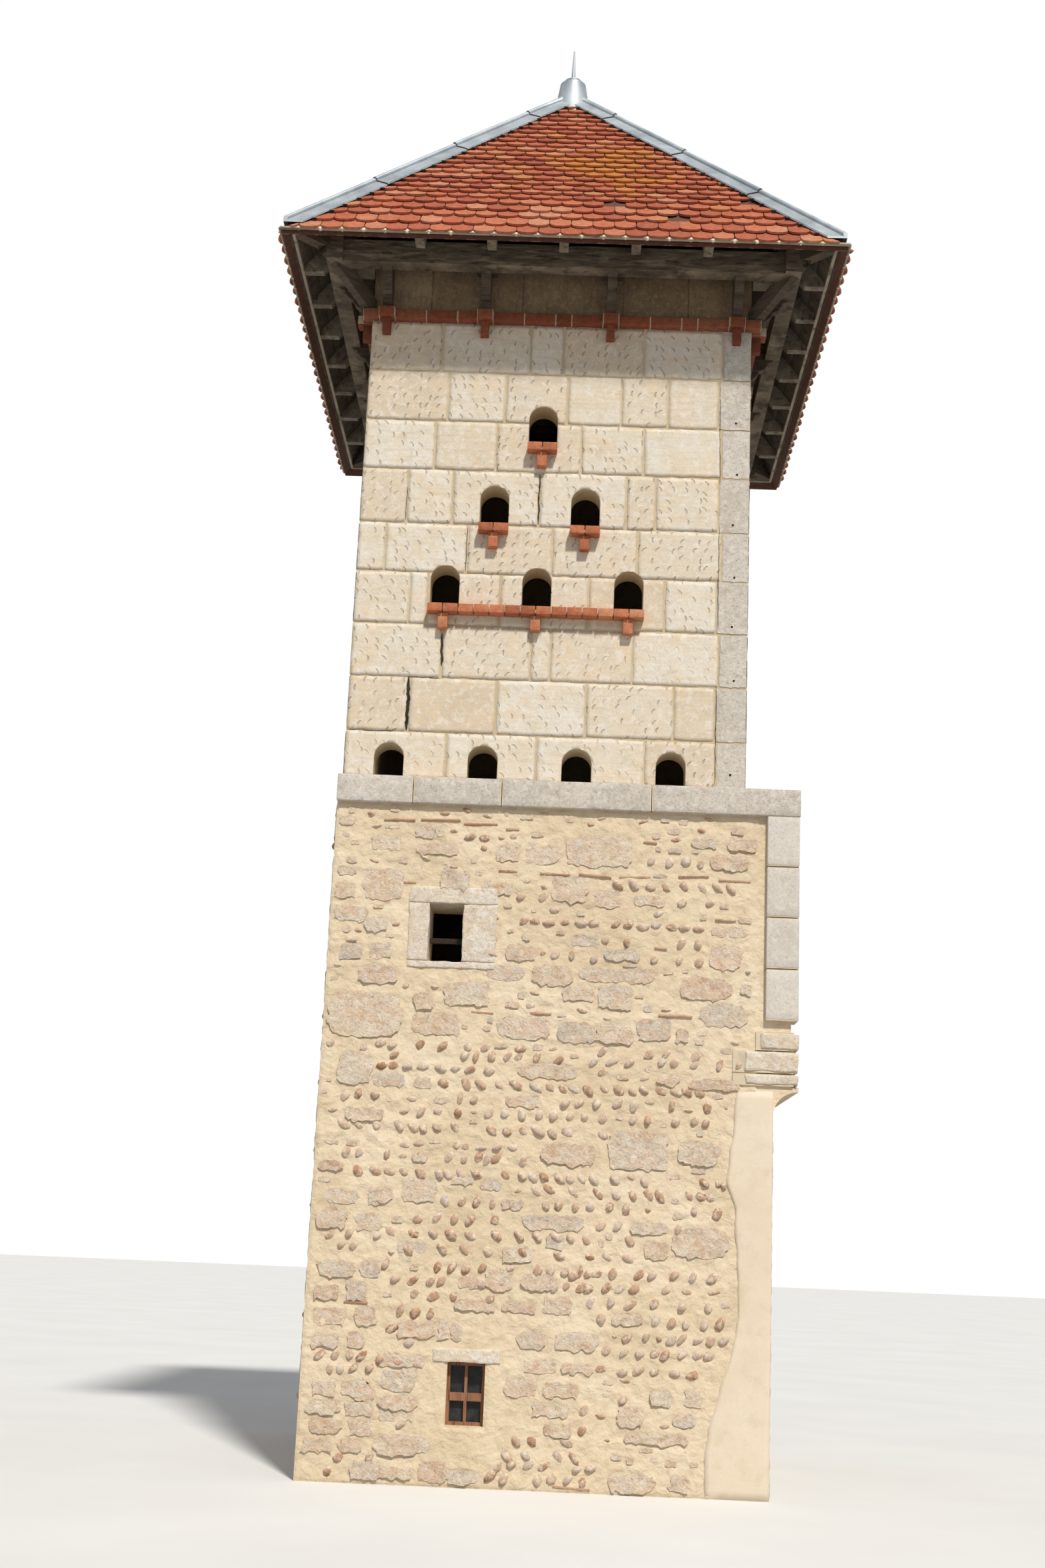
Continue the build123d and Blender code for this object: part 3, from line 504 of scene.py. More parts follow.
# painted shade: near black with a faint grain, for open cracks, holes, the tiles' steps under the zinc and
# the zinc's laps
gapShade, tree, shader, place = startMaterial("gapShade")
gapGrain = grain(tree, place, 30.0, 3, 0.5)
gapShadeTone = ramp(tree, gapGrain, [(0.3, (0.012, 0.009, 0.006)), (0.7, (0.05, 0.036, 0.022))])
surface(tree, shader, gapShadeTone, 1.0, [(gapGrain, 0.4, 0.004)])
print("materials made")

slotOf = {entry["node"]: entry["material_slot"] for entry in frame["record"]["subparts"]}
nodeFinish = {
    "rubble": rubbleMortar,
    "squared_stone": ashlarMortar,
    "dressed_stone": greyStone,
    "brick": brickMortar,
    "roof_tile": roofBoards,
    "zinc": zincSheet,
    "timber": darkTimber,
    "painted_wood": paintedFrame,
    "glass": windowGlass,
}
# words in the names of the nodes that look unlike the rest of their slot
special = {
    "eave_purlins": purlinTimber,
    "soffit_boards": paleBoards,
    "eave_fascia": paleBoards,
    "end_rafters": feetTimber,
    "side_rafters": feetTimber,
    "slit_window_bar": shadedBarTimber,
    "frieze_wall": shadedFriezeStone,
    "roof_slope": shadedUnderTile,
}
for name, node in nodes.items():
    own = [finish for words, finish in special.items() if words in name]
    node.data.materials.clear()
    node.data.materials.append(own[0] if own else nodeFinish[slotOf[name]])


def placed(bm, matrix):
    bmesh.ops.transform(bm, matrix=matrix, verts=bm.verts)
    return bm


def settled(bm):
    # the balls' edges come in an order that differs from run to run, and the tones follow it
    bm.verts.index_update()
    rounds = [[vert.index for vert in face.verts] for face in bm.faces]
    mesh = bpy.data.meshes.new("settled")
    mesh.from_pydata([vert.co[:] for vert in bm.verts], [], sorted(rounds, key=sorted))
    bm.clear()
    bm.from_mesh(mesh)
    bpy.data.meshes.remove(mesh)
    return bm


def finished(bm, name, material, matrix=None, replaced=(), smooth=True):
    # hands the mesh over as a piece of the part
    if matrix is not None:
        placed(bm, matrix)
    mesh = bpy.data.meshes.new(name)
    bm.to_mesh(mesh)
    bm.free()
    if smooth:
        mesh.polygons.foreach_set("use_smooth", [True] * len(mesh.polygons))
    mesh.materials.append(material)
    piece = bpy.data.objects.new(name, mesh)
    bpy.context.scene.collection.objects.link(piece)
    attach(piece, "root")
    if replaced:
        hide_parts(*replaced)
    return piece


def gather(total, part, matrix=None):
    # adds one small mesh to the whole
    if matrix is not None:
        placed(part, matrix)
    mesh = bpy.data.meshes.new("part")
    part.to_mesh(mesh)
    part.free()
    total.from_mesh(mesh)
    bpy.data.meshes.remove(mesh)


def trim(bm, point, outward):
    # cuts away what lies beyond a plane
    parts = bm.verts[:] + bm.edges[:] + bm.faces[:]
    bmesh.ops.bisect_plane(bm, geom=parts, plane_co=point, plane_no=outward, clear_outer=True)


def fillHoles(bm):
    bmesh.ops.holes_fill(bm, edges=[edge for edge in bm.edges if edge.is_boundary], sides=0)


def wallPlane(origin, along):
    # local X runs along the wall, local Y up, local Z out of it
    along = Vector(along)
    up = Vector((0, 0, 1))
    matrix = Matrix((along, up, along.cross(up))).transposed().to_4x4()
    matrix.translation = Vector(origin)
    return matrix


def layStone(bm, left, right, low, high, proud, chance, rough=0.004, rounding=0.0, rim=0.007, cell=0.05):
    # one stone's face: a grid with an uneven outline, raised over a narrow rim
    wide, tall = right - left, high - low
    sunk = 0.002
    made = bmesh.ops.create_grid(
        bm,
        x_segments=max(3, round(wide / cell)),
        y_segments=max(3, round(tall / cell)),
        size=0.5,
    )["verts"]
    faces = list(dict.fromkeys(face for vert in made for face in vert.link_faces))
    shift = Vector((chance.uniform(0, 90), chance.uniform(0, 90), 0))
    for vert in made:
        a, b = vert.co.x * 2, vert.co.y * 2
        pull = 1 - rounding * (a * a * b * b) - rounding * 0.3 * max(a * a, b * b)
        edge = max(abs(a), abs(b)) ** 3
        spot = shift + Vector((a * wide, b * tall, 0))
        wander = (noise.noise_vector(spot * 9) * 0.7 + noise.noise_vector(spot * 31) * 0.5) * rough * edge
        vert.co.x = (left + right) / 2 + a * pull * wide / 2 + wander.x
        vert.co.y = (low + high) / 2 + b * pull * tall / 2 + wander.y
        vert.co.z = -sunk
    bmesh.ops.inset_region(bm, faces=faces, thickness=min(rim, wide / 4, tall / 4), depth=proud + sunk)
    bmesh.ops.inset_region(bm, faces=faces, thickness=0.004, depth=0)
    swell = proud * 0.45
    for vert in {v for face in faces if face.is_valid for v in face.verts}:
        vert.co.z += (noise.noise(shift + vert.co * 7) + 0.6 * noise.noise(shift + vert.co * 24)) * swell


def layPebble(bm, across, up, wide, tall, lean, out, chance):
    # a lumpy ball that is half sunk in the wall's face
    made = bmesh.ops.create_uvsphere(bm, u_segments=8, v_segments=6, radius=0.5)["verts"]
    shift = Vector((chance.uniform(0, 90), chance.uniform(0, 90), 0))
    for vert in made:
        vert.co += noise.noise_vector(shift + vert.co * 1.6) * 0.16
    size = Matrix.Diagonal((wide, tall, out * 2.2, 1))
    turned = Matrix.Translation((across, up, 0)) @ Matrix.Rotation(lean, 4, "Z")
    bmesh.ops.transform(bm, matrix=turned @ size, verts=made)


mergeReach = 0.00005


def looseBoxes(name):
    # the corners of each separate block of a CAD node
    bm = bmesh.new()
    bm.from_mesh(nodes[name].data)
    bmesh.ops.remove_doubles(bm, verts=bm.verts, dist=mergeReach)
    seen, boxes = set(), []
    for first in bm.verts:
        if first in seen:
            continue
        seen.add(first)
        front = [first]
        low, high = first.co.copy(), first.co.copy()
        while front:
            vert = front.pop()
            low = Vector(map(min, low, vert.co))
            high = Vector(map(max, high, vert.co))
            beside = [edge.other_vert(vert) for edge in vert.link_edges]
            front += [other for other in beside if other not in seen]
            seen.update(beside)
        boxes.append((low, high))
    bm.free()
    return sorted(boxes, key=lambda box: tuple(box[0]))


def wornBlock(low, high, cell, edge, wear, wander=0.0):
    # a squared block with softened edges and an uneven face
    bm = bmesh.new()
    bmesh.ops.create_cube(bm, size=1.0)
    size = high - low
    placed(bm, Matrix.Translation((low + high) / 2) @ Matrix.Diagonal((*size, 1)))
    bmesh.ops.bevel(
        bm,
        geom=bm.edges[:],
        offset=min(edge, min(size) / 4),
        offset_type="OFFSET",
        segments=2,
        profile=0.5,
        affect="EDGES",
        material=-1,
    )
    for direction in range(3):
        cuts = min(24, int(size[direction] / cell))
        runs = [e for e in bm.edges if abs((e.verts[0].co - e.verts[1].co)[direction]) > cell]
        if cuts and runs:
            bmesh.ops.subdivide_edges(bm, edges=runs, cuts=cuts, use_grid_fill=True)
    for vert in bm.verts:
        drift = noise.noise_vector(vert.co * 8) + 0.6 * noise.noise_vector(vert.co * 23)
        vert.co -= vert.normal * abs(noise.noise(vert.co * 6.5)) * wear
        vert.co += Vector((drift.x, 0, drift.z)) * wander
    return bm


def wornPiece(name, sources, material, look, push=(0, 0, 0)):
    # worn blocks in place of the CAD ones
    total = bmesh.new()
    for source in sources:
        for low, high in looseBoxes(source):
            gather(total, wornBlock(low + Vector(push), high, **look))
    finished(total, name, material, replaced=sources)


def jointedPiece(name, sources, material, joint, proud, look, trimmed=0.0, reach=0.0):
    # stones a little proud of the CAD shapes, which show between them as mortar
    total = bmesh.new()
    for source in sources:
        nodes[source].data.materials[0] = courseMortar
        boxes = looseBoxes(source)
        lowest = [min(low[i] for low, high in boxes) for i in range(3)]
        highest = [max(high[i] for low, high in boxes) for i in range(3)]
        for low, high in boxes:
            # the photo's foot stones start further right and end nearer the cove's lip than the solids
            low = low + Vector((trimmed if high.x - low.x > 0.3 else trimmed / 2, 0, 0))
            high = high + Vector((reach, 0, 0))
            size = high - low
            grow, shrink = Vector((-proud,) * 3), Vector((proud,) * 3)
            if "course" not in source:
                grow.z, shrink.z = joint / 2, -joint / 2
            else:
                run = 0 if size.x > size.y else 1
                grow[run] = -proud if low[run] < lowest[run] + 0.001 else joint / 2
                shrink[run] = proud if high[run] > highest[run] - 0.001 else -joint / 2
            gather(total, wornBlock(low + grow, high + shrink, **look))
    finished(total, name, material)


upperHalf, upperDeep, lowerDeep = 1.475, 1.68, 1.73
frontUpper = wallPlane((0, -upperDeep, 0), (1, 0, 0))
backUpper = wallPlane((0, upperDeep, 0), (-1, 0, 0))
rightUpper = wallPlane((upperHalf, 0, 0), (0, 1, 0))
leftUpper = wallPlane((-upperHalf, 0, 0), (0, -1, 0))
frontLower = wallPlane((0, -lowerDeep, 0), (1, 0, 0))
backLower = wallPlane((0, lowerDeep, 0), (-1, 0, 0))
rightLower = wallPlane((1.82, 0, 0), (0, 1, 0))
leftLower = wallPlane((-1.5, 0, 0), (0, -1, 0))
rightFoot = wallPlane((1.697, 0, 0), (0, 1, 0))

dressed = {"cell": 0.06, "edge": 0.006, "wear": 0.0025}
rough = {"cell": 0.03, "edge": 0.012, "wear": 0.012, "wander": 0.010}
courses = ["front_string_course", "right_string_course", "back_string_course"]
corners = ["front_corner_quoins", "back_corner_quoins"]
feet = ["front_corner_foot_stones", "back_corner_foot_stones"]
jointedPiece("stringCourse", courses, greyStone, joint=0.012, proud=0.003, look=dressed)
jointedPiece("cornerQuoins", corners, quoinStone, joint=0.010, proud=0.003, look=dressed)
jointedPiece("footStones", feet, paleRubble, joint=0.012, proud=0.014, look=rough, trimmed=0.10, reach=0.025)
facing = {"cell": 0.02, "edge": 0.008, "wear": 0.010, "wander": 0.005}
for name, source in (("slitStones", "slit_window_stones"), ("lowLintel", "low_window_lintel")):
    wornPiece(name, [source], paleRubble, facing, push=(0, -0.011, 0))
print("dressed stones laid")

perchLook = {"cell": 0.07, "edge": 0.004, "wear": 0.0035}
perches = ["top_perch", "middle_perches", "long_perch", "perch_corbels"]
wornPiece("perchBricks", perches, brickClay, perchLook)
wornPiece("eaveCorbels", ["brick_corbels"], shadedBandClay, perchLook)

brickBand = {
    "low": 8.57,
    "high": 8.635,
    "reach": 0.07,
    "headReach": 0.12,
    "headWide": 0.124,
    "seated": 0.03,
    "lift": 0.004,
    "joint": 0.008,
    "lengths": (0.243, 0.243, 0.124, 0.243, 0.124),
    "shortest": 0.06,
}


def layBrickBand():
    # bricks along each wall, between the longer ones that stand on the corbels
    band = brickBand
    total = bmesh.new()
    heads = {"x": [], "y": []}
    for low, high in looseBoxes("brick_corbels"):
        middle = (low + high) / 2
        if abs(middle.y) > upperDeep:
            heads["x"].append((middle.x, middle.y))
        else:
            heads["y"].append((middle.y, middle.x))
    for along, half, face in (("x", upperHalf + band["reach"], upperDeep), ("y", upperDeep, upperHalf)):
        for side in (-1, 1):
            centres = sorted(a for a, b in heads[along] if b * side > 0)
            ends = [(c - band["headWide"] / 2, c + band["headWide"] / 2) for c in centres]
            blocks = [(*pair, band["headReach"]) for pair in ends]
            stops = [-half] + [end for pair in ends for end in pair] + [half]
            for start, end in zip(stops[0::2], stops[1::2]):
                at, index = start, 0
                while at < end - band["shortest"] / 2:
                    length = min(band["lengths"][index % len(band["lengths"])], end - at)
                    if end - at - length < band["shortest"]:
                        length = end - at
                    blocks.append((at, at + length, band["reach"]))
                    at += length
                    index += 1
            for start, end, reach in blocks:
                a = (start + band["joint"] / 2, end - band["joint"] / 2)
                b = sorted((side * (face - band["seated"]), side * (face + reach + band["lift"])))
                low, high = [(a[i], b[i]) if along == "x" else (b[i], a[i]) for i in range(2)]
                low = Vector((*low, band["low"] - band["lift"]))
                high = Vector((*high, band["high"] + band["lift"]))
                gather(total, wornBlock(low, high, 0.07, 0.004, 0.003))
    finished(total, "eaveBricks", shadedBandClay)


layBrickBand()
print("bricks laid")

ashlar = {"proud": 0.004, "bed": 0.0055, "upright": 0.0075, "rough": 0.009, "rim": 0.003, "rounding": 0.012}
# each course: its foot, its head and the uprights between its blocks, measured on the front
frontCourses = [
    (4.905, 5.262, (-0.732, -0.065, 0.7315, 1.258)),
    (5.262, 5.683, (-1.03, -0.3755, 0.286, 0.94, 1.245)),
    (5.683, 6.098, (-0.80, -0.1325, 0.0106, 0.6235, 1.266)),
    (6.098, 6.511, (-1.064, -0.929, -0.384, 0.2806, 0.853, 1.245)),
    (6.511, 6.902, (-1.272, -0.651, -0.0056, 0.637, 1.27)),
    (6.902, 7.341, (-1.126, -0.78, -0.119, 0.5425, 0.764, 1.245)),
    (7.341, 7.741, (-0.934, -0.462, 0.186, 0.664, 1.258)),
    (7.741, 8.151, (-0.85, -0.41, 0.07, 0.483, 0.84, 1.231)),
    (8.151, 8.568, (-0.92, -0.227, 0.024, 0.647, 1.263)),
]
holes = [
    (-0.11, 7.558, 0.33),
    (-0.456, 6.893, 0.33), (0.236, 6.893, 0.33),
    (-0.802, 6.242, 0.33), (-0.11, 6.242, 0.33), (0.582, 6.242, 0.33),
    (-1.148, 4.90, 0.275), (-0.456, 4.90, 0.275), (0.236, 4.90, 0.275), (0.928, 4.90, 0.275),
]
holeWide = 0.22
holeCut = {"segments": 32, "deep": 0.08, "below": 0.01}


def layCourses(courses, half, chance, leftQuoin=0.0, rightQuoin=0.0, cell=0.05):
    # courses of squared stone; those within the given distance of an end are the grey quoins
    stones, quoins = bmesh.new(), bmesh.new()
    for low, high, uprights in courses:
        edges = [-half, *uprights, half]
        row, corner = bmesh.new(), bmesh.new()
        for left, right in zip(edges, edges[1:]):
            isQuoin = left > half - rightQuoin or right < leftQuoin - half
            gapLeft = 0.0 if left == -half else ashlar["upright"] * chance.uniform(0.6, 1.3)
            gapRight = 0.0 if right == half else ashlar["upright"] * chance.uniform(0.6, 1.3)
            layStone(
                corner if isQuoin else row,
                left + gapLeft,
                right - gapRight,
                low + ashlar["bed"] * chance.uniform(0.5, 1.3),
                high - ashlar["bed"] * chance.uniform(0.5, 1.3),
                ashlar["proud"] * chance.uniform(0.6, 1.2),
                chance,
                rough=ashlar["rough"],
                rounding=ashlar["rounding"],
                rim=ashlar["rim"],
                cell=cell,
            )
        gather(stones, row)
        gather(quoins, corner)
    return stones, quoins


def raised(bm, made, height):
    # moves the corners that an extrusion has just made
    verts = [part for part in made["geom"] if isinstance(part, bmesh.types.BMVert)]
    bmesh.ops.translate(bm, verts=verts, vec=(0, 0, height))


def cutHoles(piece):
    # the arched holes are cut through the stones' faces
    cutter = bmesh.new()
    for x, sill, tall in holes:
        spring = sill + tall - holeWide / 2
        arch = bmesh.new()
        segments = holeCut["segments"]
        bmesh.ops.create_circle(arch, cap_ends=True, segments=segments, radius=holeWide / 2)
        for vert in arch.verts:
            # the lower half of the circle is drawn down to a straight sill
            if vert.co.y < 0:
                vert.co.y = vert.co.y * 0.001 - (spring - sill) - holeCut["below"]
                vert.co.x = math.copysign(holeWide / 2, vert.co.x)
        bmesh.ops.remove_doubles(arch, verts=arch.verts, dist=0.003)
        bmesh.ops.dissolve_degenerate(arch, dist=0.0005, edges=arch.edges)
        bmesh.ops.recalc_face_normals(arch, faces=arch.faces)
        raised(arch, bmesh.ops.extrude_face_region(arch, geom=arch.faces[:]), holeCut["deep"])
        bmesh.ops.recalc_face_normals(arch, faces=arch.faces)
        gather(cutter, arch, Matrix.Translation((x, spring, -holeCut["deep"] / 2)))
    mesh = bpy.data.meshes.new("holeCutter")
    placed(cutter, frontUpper).to_mesh(mesh)
    cutter.free()
    tool = bpy.data.objects.new("holeCutter", mesh)
    bpy.context.scene.collection.objects.link(tool)
    modifier = piece.modifiers.new("holes", "BOOLEAN")
    modifier.operation = "DIFFERENCE"
    modifier.solver = "EXACT"
    modifier.object = tool
    cut = bpy.data.meshes.new_from_object(piece.evaluated_get(bpy.context.evaluated_depsgraph_get()))
    piece.modifiers.clear()
    piece.data = cut
    bpy.data.objects.remove(tool)


chance = random.Random(41)
stones, quoins = layCourses(frontCourses, upperHalf, chance, rightQuoin=0.275, cell=0.03)
# a back behind the open faces, so that the holes can be cut through them
rims = [edge for edge in stones.edges if edge.is_boundary]
raised(stones, bmesh.ops.extrude_edge_only(stones, edges=rims), -0.01)
fillHoles(stones)
bmesh.ops.recalc_face_normals(stones, faces=stones.faces)
cutHoles(finished(stones, "frontAshlar", ashlarStone, frontUpper))
finished(quoins, "frontUpperQuoins", greyStone, frontUpper)

sideCourses = {
    "quoin": 0.225,
    "longQuoin": 0.25,
    "within": 0.27,
    "first": (0.35, 0.65),
    "block": (0.42, 0.72),
    "last": 0.28,
}


def seededCourses(half, chance):
    # the front's courses, with seeded uprights between the corners
    courses = []
    for index, (low, high, _) in enumerate(frontCourses):
        right = half - sideCourses["longQuoin" if index % 2 else "quoin"]
        uprights, at = [-right], chance.uniform(*sideCourses["first"]) - right
        while at < right - sideCourses["last"]:
            uprights.append(at)
            at += chance.uniform(*sideCourses["block"])
        courses.append((low, high, [*uprights, right]))
    return courses


for name, matrix, half in (
    ("rightAshlar", rightUpper, upperDeep),
    ("backAshlar", backUpper, upperHalf),
    ("leftAshlar", leftUpper, upperDeep),
):
    ends = sideCourses["within"]
    stones, quoins = layCourses(seededCourses(half, chance), half, chance, leftQuoin=ends, rightQuoin=ends)
    finished(stones, name, ashlarStone, matrix)
    finished(quoins, name + "Quoins", greyStone, matrix)

# open cracks and joints on the front: from, to (x and height) and width
cracks = [
    ((-1.028, 5.27), (-1.034, 5.69), 0.034),
    ((-0.797, 5.78), (-0.803, 6.03), 0.024),
    ((-0.119, 6.92), (-0.122, 7.33), 0.014),
    ((-0.651, 6.52), (-0.653, 6.89), 0.006),
    ((-1.03, 5.683), (-0.80, 5.680), 0.006),
    ((-1.47, 5.262), (-1.10, 5.258), 0.007),
    ((1.2525, 4.93), (1.2535, 5.70), 0.006),
    ((1.2535, 6.10), (1.2535, 6.95), 0.006),
    ((1.25, 7.30), (1.243, 8.10), 0.006),
    ((-1.126, 6.92), (-1.128, 7.20), 0.005),
]
quoinHoles = [
    (1.365, 5.02), (1.38, 5.74), (1.36, 6.16), (1.372, 6.55), (1.355, 6.97), (1.38, 7.38), (1.366, 7.80),
]
crackLook = {"pace": 0.02, "out": 0.0052, "holeOut": 0.0062, "holeRadius": 0.009}


def openCracks():
    # painted shade: dark strips a hair over the stones for the open cracks, and dark discs for the small
    # holes in the quoins
    total = bmesh.new()
    for (x0, z0), (x1, z1), wide in cracks:
        strip = bmesh.new()
        length = math.hypot(x1 - x0, z1 - z0)
        pieces = max(4, round(length / crackLook["pace"]))
        bmesh.ops.create_grid(strip, x_segments=1, y_segments=pieces, size=0.5)
        turn = math.atan2(-(x1 - x0), z1 - z0)
        for vert in strip.verts:
            along = vert.co.y + 0.5
            taper = min(1.0, 6 * along + 0.2, 6 * (1 - along) + 0.2)
            ragged = 0.7 + 0.6 * noise.noise(Vector((x0 * 9, along * length * 30, vert.co.x * 4)))
            drift = 0.006 * noise.noise(Vector((x0 * 5, along * length * 11, 2)))
            vert.co = Vector((vert.co.x * wide * taper * ragged + drift, along * length, crackLook["out"]))
        gather(total, strip, Matrix.Translation((x0, z0, 0)) @ Matrix.Rotation(turn, 4, "Z"))
    for x, z in quoinHoles:
        spot = bmesh.new()
        bmesh.ops.create_circle(spot, cap_ends=True, segments=12, radius=crackLook["holeRadius"])
        gather(total, spot, Matrix.Translation((x, z, crackLook["holeOut"])))
    finished(total, "openCracks", gapShade, frontUpper, smooth=False)


openCracks()
frieze = {"low": 8.642, "high": 9.066, "joints": (-1.02, -0.31, 0.47, 0.98), "gap": 0.006, "proud": 0.007}
total = bmesh.new()
for matrix, half in (
    (frontUpper, upperHalf),
    (backUpper, upperHalf),
    (rightUpper, upperDeep),
    (leftUpper, upperDeep),
):
    row = bmesh.new()
    edges = [-half, *(joint * half / upperHalf for joint in frieze["joints"]), half]
    for left, right in zip(edges, edges[1:]):
        left, right = left + frieze["gap"], right - frieze["gap"]
        low, high, proud = [frieze[key] for key in ("low", "high", "proud")]
        layStone(row, left, right, low, high, proud, chance, rim=0.004)
    gather(total, row, matrix)
finished(total, "friezeStones", shadedFriezeStone)
print("ashlar laid")

# the smooth render of the pier on the front, with the wavy edge it has in the photo
pierEdge = {
    "heights": (2.73, 2.52, 2.3, 2.1, 1.9, 1.6, 1.3, 1.1, 0.8, 0.45, 0.25, 0.0),
    "left": (1.44, 1.43, 1.40, 1.385, 1.44, 1.46, 1.47, 1.47, 1.39, 1.28, 1.26, 1.27),
    "right": 1.6975,
    "thick": 0.022,
    "columns": 14,
    "rows": 90,
    "waver": (0.014, 0.006),
}

# rubble of the lower front, in centimetres: each stone's left, right, foot and head
lowerStones = [
    (-147, -136, 452, 460), (-123, -102, 435, 446), (-90, -59, 433, 441), (-93, -77, 445, 455),
    (-78, -69, 447, 455), (-32, -15, 430, 443), (-11, 13, 429, 446), (17, 68, 428, 452), (135, 157, 443, 454),
    (123, 152, 429, 441), (109, 127, 445, 452), (-148, -132, 416, 422), (-128, -98, 398, 422),
    (-72, -50, 407, 423), (-42, -18, 405, 415), (8, 36, 401, 421), (40, 60, 399, 412), (68, 92, 401, 409),
    (-147, -132, 399, 410), (-148, -122, 382, 394), (-124, -108, 375, 385), (-120, -104, 356, 368),
    (-141, -125, 355, 365), (123, 152, 381, 388), (123, 147, 357, 375), (24, 44, 370, 379),
    (-22, 0, 358, 369), (49, 73, 361, 369), (-128, -98, 338, 351), (-35, -8, 343, 355), (-3, 26, 341, 355),
    (30, 86, 345, 355), (102, 140, 335, 351), (19, 42, 331, 341), (44, 69, 326, 343), (-65, -33, 325, 341),
    (117, 152, 316, 333), (146, 154, 339, 347), (-148, -93, 299, 332), (-87, -71, 321, 332),
    (-87, -53, 303, 319), (-27, 13, 302, 319), (16, 44, 300, 316), (44, 70, 302, 315), (73, 97, 305, 320),
    (100, 110, 304, 314), (-138, -113, 266, 289), (-10, 32, 275, 286), (-113, -89, 265, 275),
    (-83, -70, 265, 273), (-131, -102, 241, 250), (-18, 8, 255, 263), (110, 147, 272, 279),
    (87, 104, 274, 281), (-130, -104, 240, 249), (8, 48, 216, 231), (56, 97, 215, 241), (103, 133, 218, 237),
    (-81, -71, 214, 220), (-146, -128, 206, 213), (-111, -93, 186, 197), (-87, -63, 187, 202),
    (-53, -38, 200, 206), (-33, -18, 197, 204), (-18, -3, 184, 191), (-4, 42, 171, 182), (72, 99, 171, 180),
    (81, 100, 154, 167), (100, 141, 156, 178), (-88, -69, 152, 160), (-15, 6, 149, 159), (14, 26, 159, 168),
    (60, 84, 110, 117), (-58, -50, 95, 108), (-49, -40, 95, 107), (-86, -59, 96, 107), (67, 85, 44, 57),
    (88, 104, 58, 69), (111, 123, 59, 70), (105, 120, 45, 54), (72, 115, 33, 41), (-95, -59, 20, 33),
    (-112, -93, 3, 15), (61, 94, 2, 14), (102, 116, 3, 15), (-66, -47, 3, 16), (-46, -30, 2, 12),
    (-80, -69, 69, 80), (-95, -71, 41, 53), (-112, -98, 53, 63),
]
# rows of pebbles: their height and where each one sits
pebbleRows = [
    (447, (-51, -41)), (434, (80, 93, 105, 116)), (416, (56, 68, 80, 91, 104, 117, 128, 138)),
    (405, (-13, 3, 103, 123)), (387, (-10, -2, 8, 19, 31, 40, 56, 65, 75, 85, 96, 105, 115)),
    (375, (49, 64, 103, 115)), (362, (13, 25, 41, 84, 102, 116)),
    (295, (-144, -108, -100, -80, -64, -46, -34, -9, 49, 82, 94, 115)),
    (289, (-98, -48, -40, -29, -18, -10, 3, 18, 43, 56, 68, 91, 100, 114, 132, 145)),
    (280, (-106, -98, -88, -77, -65, -54, -44, -30, 50)),
    (269, (-62, -46, -36, -23, -11, 3, 13, 22, 30, 40, 51, 61, 71, 79, 91, 102, 109, 118)),
    (259, (-131, -122, -110, -50, -40, 24, 34, 46, 61, 72, 99, 124)),
    (249, (-77, -65, -51, -29, -18, -6, 6, 16, 28, 38, 51, 72, 82, 102, 115, 123)),
    (238, (-131, -120, -108, -92, -82, -75, -65, -53, -27, -16, -5, 6, 16, 26, 51)),
    (226, (-88, -77, -51, -45, -22, -12)), (218, (-128, -119, -99, -76, -56, -45, -35, -29, -23, -4)),
    (207, (-119, -107, -97, -87, -75, -62, -56, -47, -36, -16, -4, 3,
           11, 22, 29, 37, 46, 60, 81, 123, 132, 136)),
    (198, (6, 15, 32, 49, 61, 73, 84, 92, 112, 120, 126)),
    (188, (-57, -45, -35, -24, -11, 13, 22, 34, 44, 57, 69, 116, 132)),
    (176, (-75, -62, -50, -39, -22, 52, 63, 105)),
    (166, (-94, -78, -64, -52, -38, -20, -5, 8, 21, 31, 42, 72)),
    (155, (-81, -57, -42, -26, -11, -2, 24, 45, 56, 71)),
    (144, (-96, -60, -50, -40, -29, -10, 9, 18, 28, 38, 50, 61, 79, 88, 103, 116, 129)),
    (134, (-89, -76, -64, -57, -29, -15, 21, 44, 57, 66, 76, 98)),
    (124, (-75, -62, -48, -23, 46, 60, 73, 90, 109, 127)), (113, (-84, -74, -63, 54, 91, 102, 112, 124, 135)),
    (102, (-89, 72, 85, 102, 109, 120, 129, 138)), (92, (-77, 58, 70, 81, 91, 98, 110, 120, 128)),
    (80, (-96, -83, -71, 55, 69, 80, 91, 105, 117)), (62, (70,)),
]
# thin pieces of tile laid flat: left, right and height
shards = [
    (-115, -92, 458), (-88, -59, 459), (-57, -32, 457), (-30, -16, 423), (0, 22, 422), (28, 52, 422),
    (57, 80, 422), (100, 122, 424), (129, 152, 422), (127, 142, 393), (84, 93, 371), (-45, -29, 320),
    (88, 112, 323), (74, 84, 448), (-3, 12, 321), (-26, -16, 454), (-98, -89, 412),
]
rubble = {
    "proud": (0.010, 0.022),
    "rounding": (0.03, 0.2),
    "rough": 0.030,
    "rim": 0.010,
    "cell": 0.026,
    "pebbleLong": (0.078, 0.112),
    "pebbleShort": (0.05, 0.068),
    "pebbleOut": (0.016, 0.03),
    "leans": (0.75, -0.75, 1.2, 0.25, 0.9),
    "shardThick": 0.016,
    "shardOut": (0.012, 0.02),
}


def layRubbleStone(stones, left, right, low, high, chance):
    row = bmesh.new()
    proud, rounding = chance.uniform(*rubble["proud"]), chance.uniform(*rubble["rounding"])
    look = {key: rubble[key] for key in ("rough", "rim", "cell")}
    layStone(row, left, right, low, high, proud, chance, rounding=rounding, **look)
    gather(stones, row)


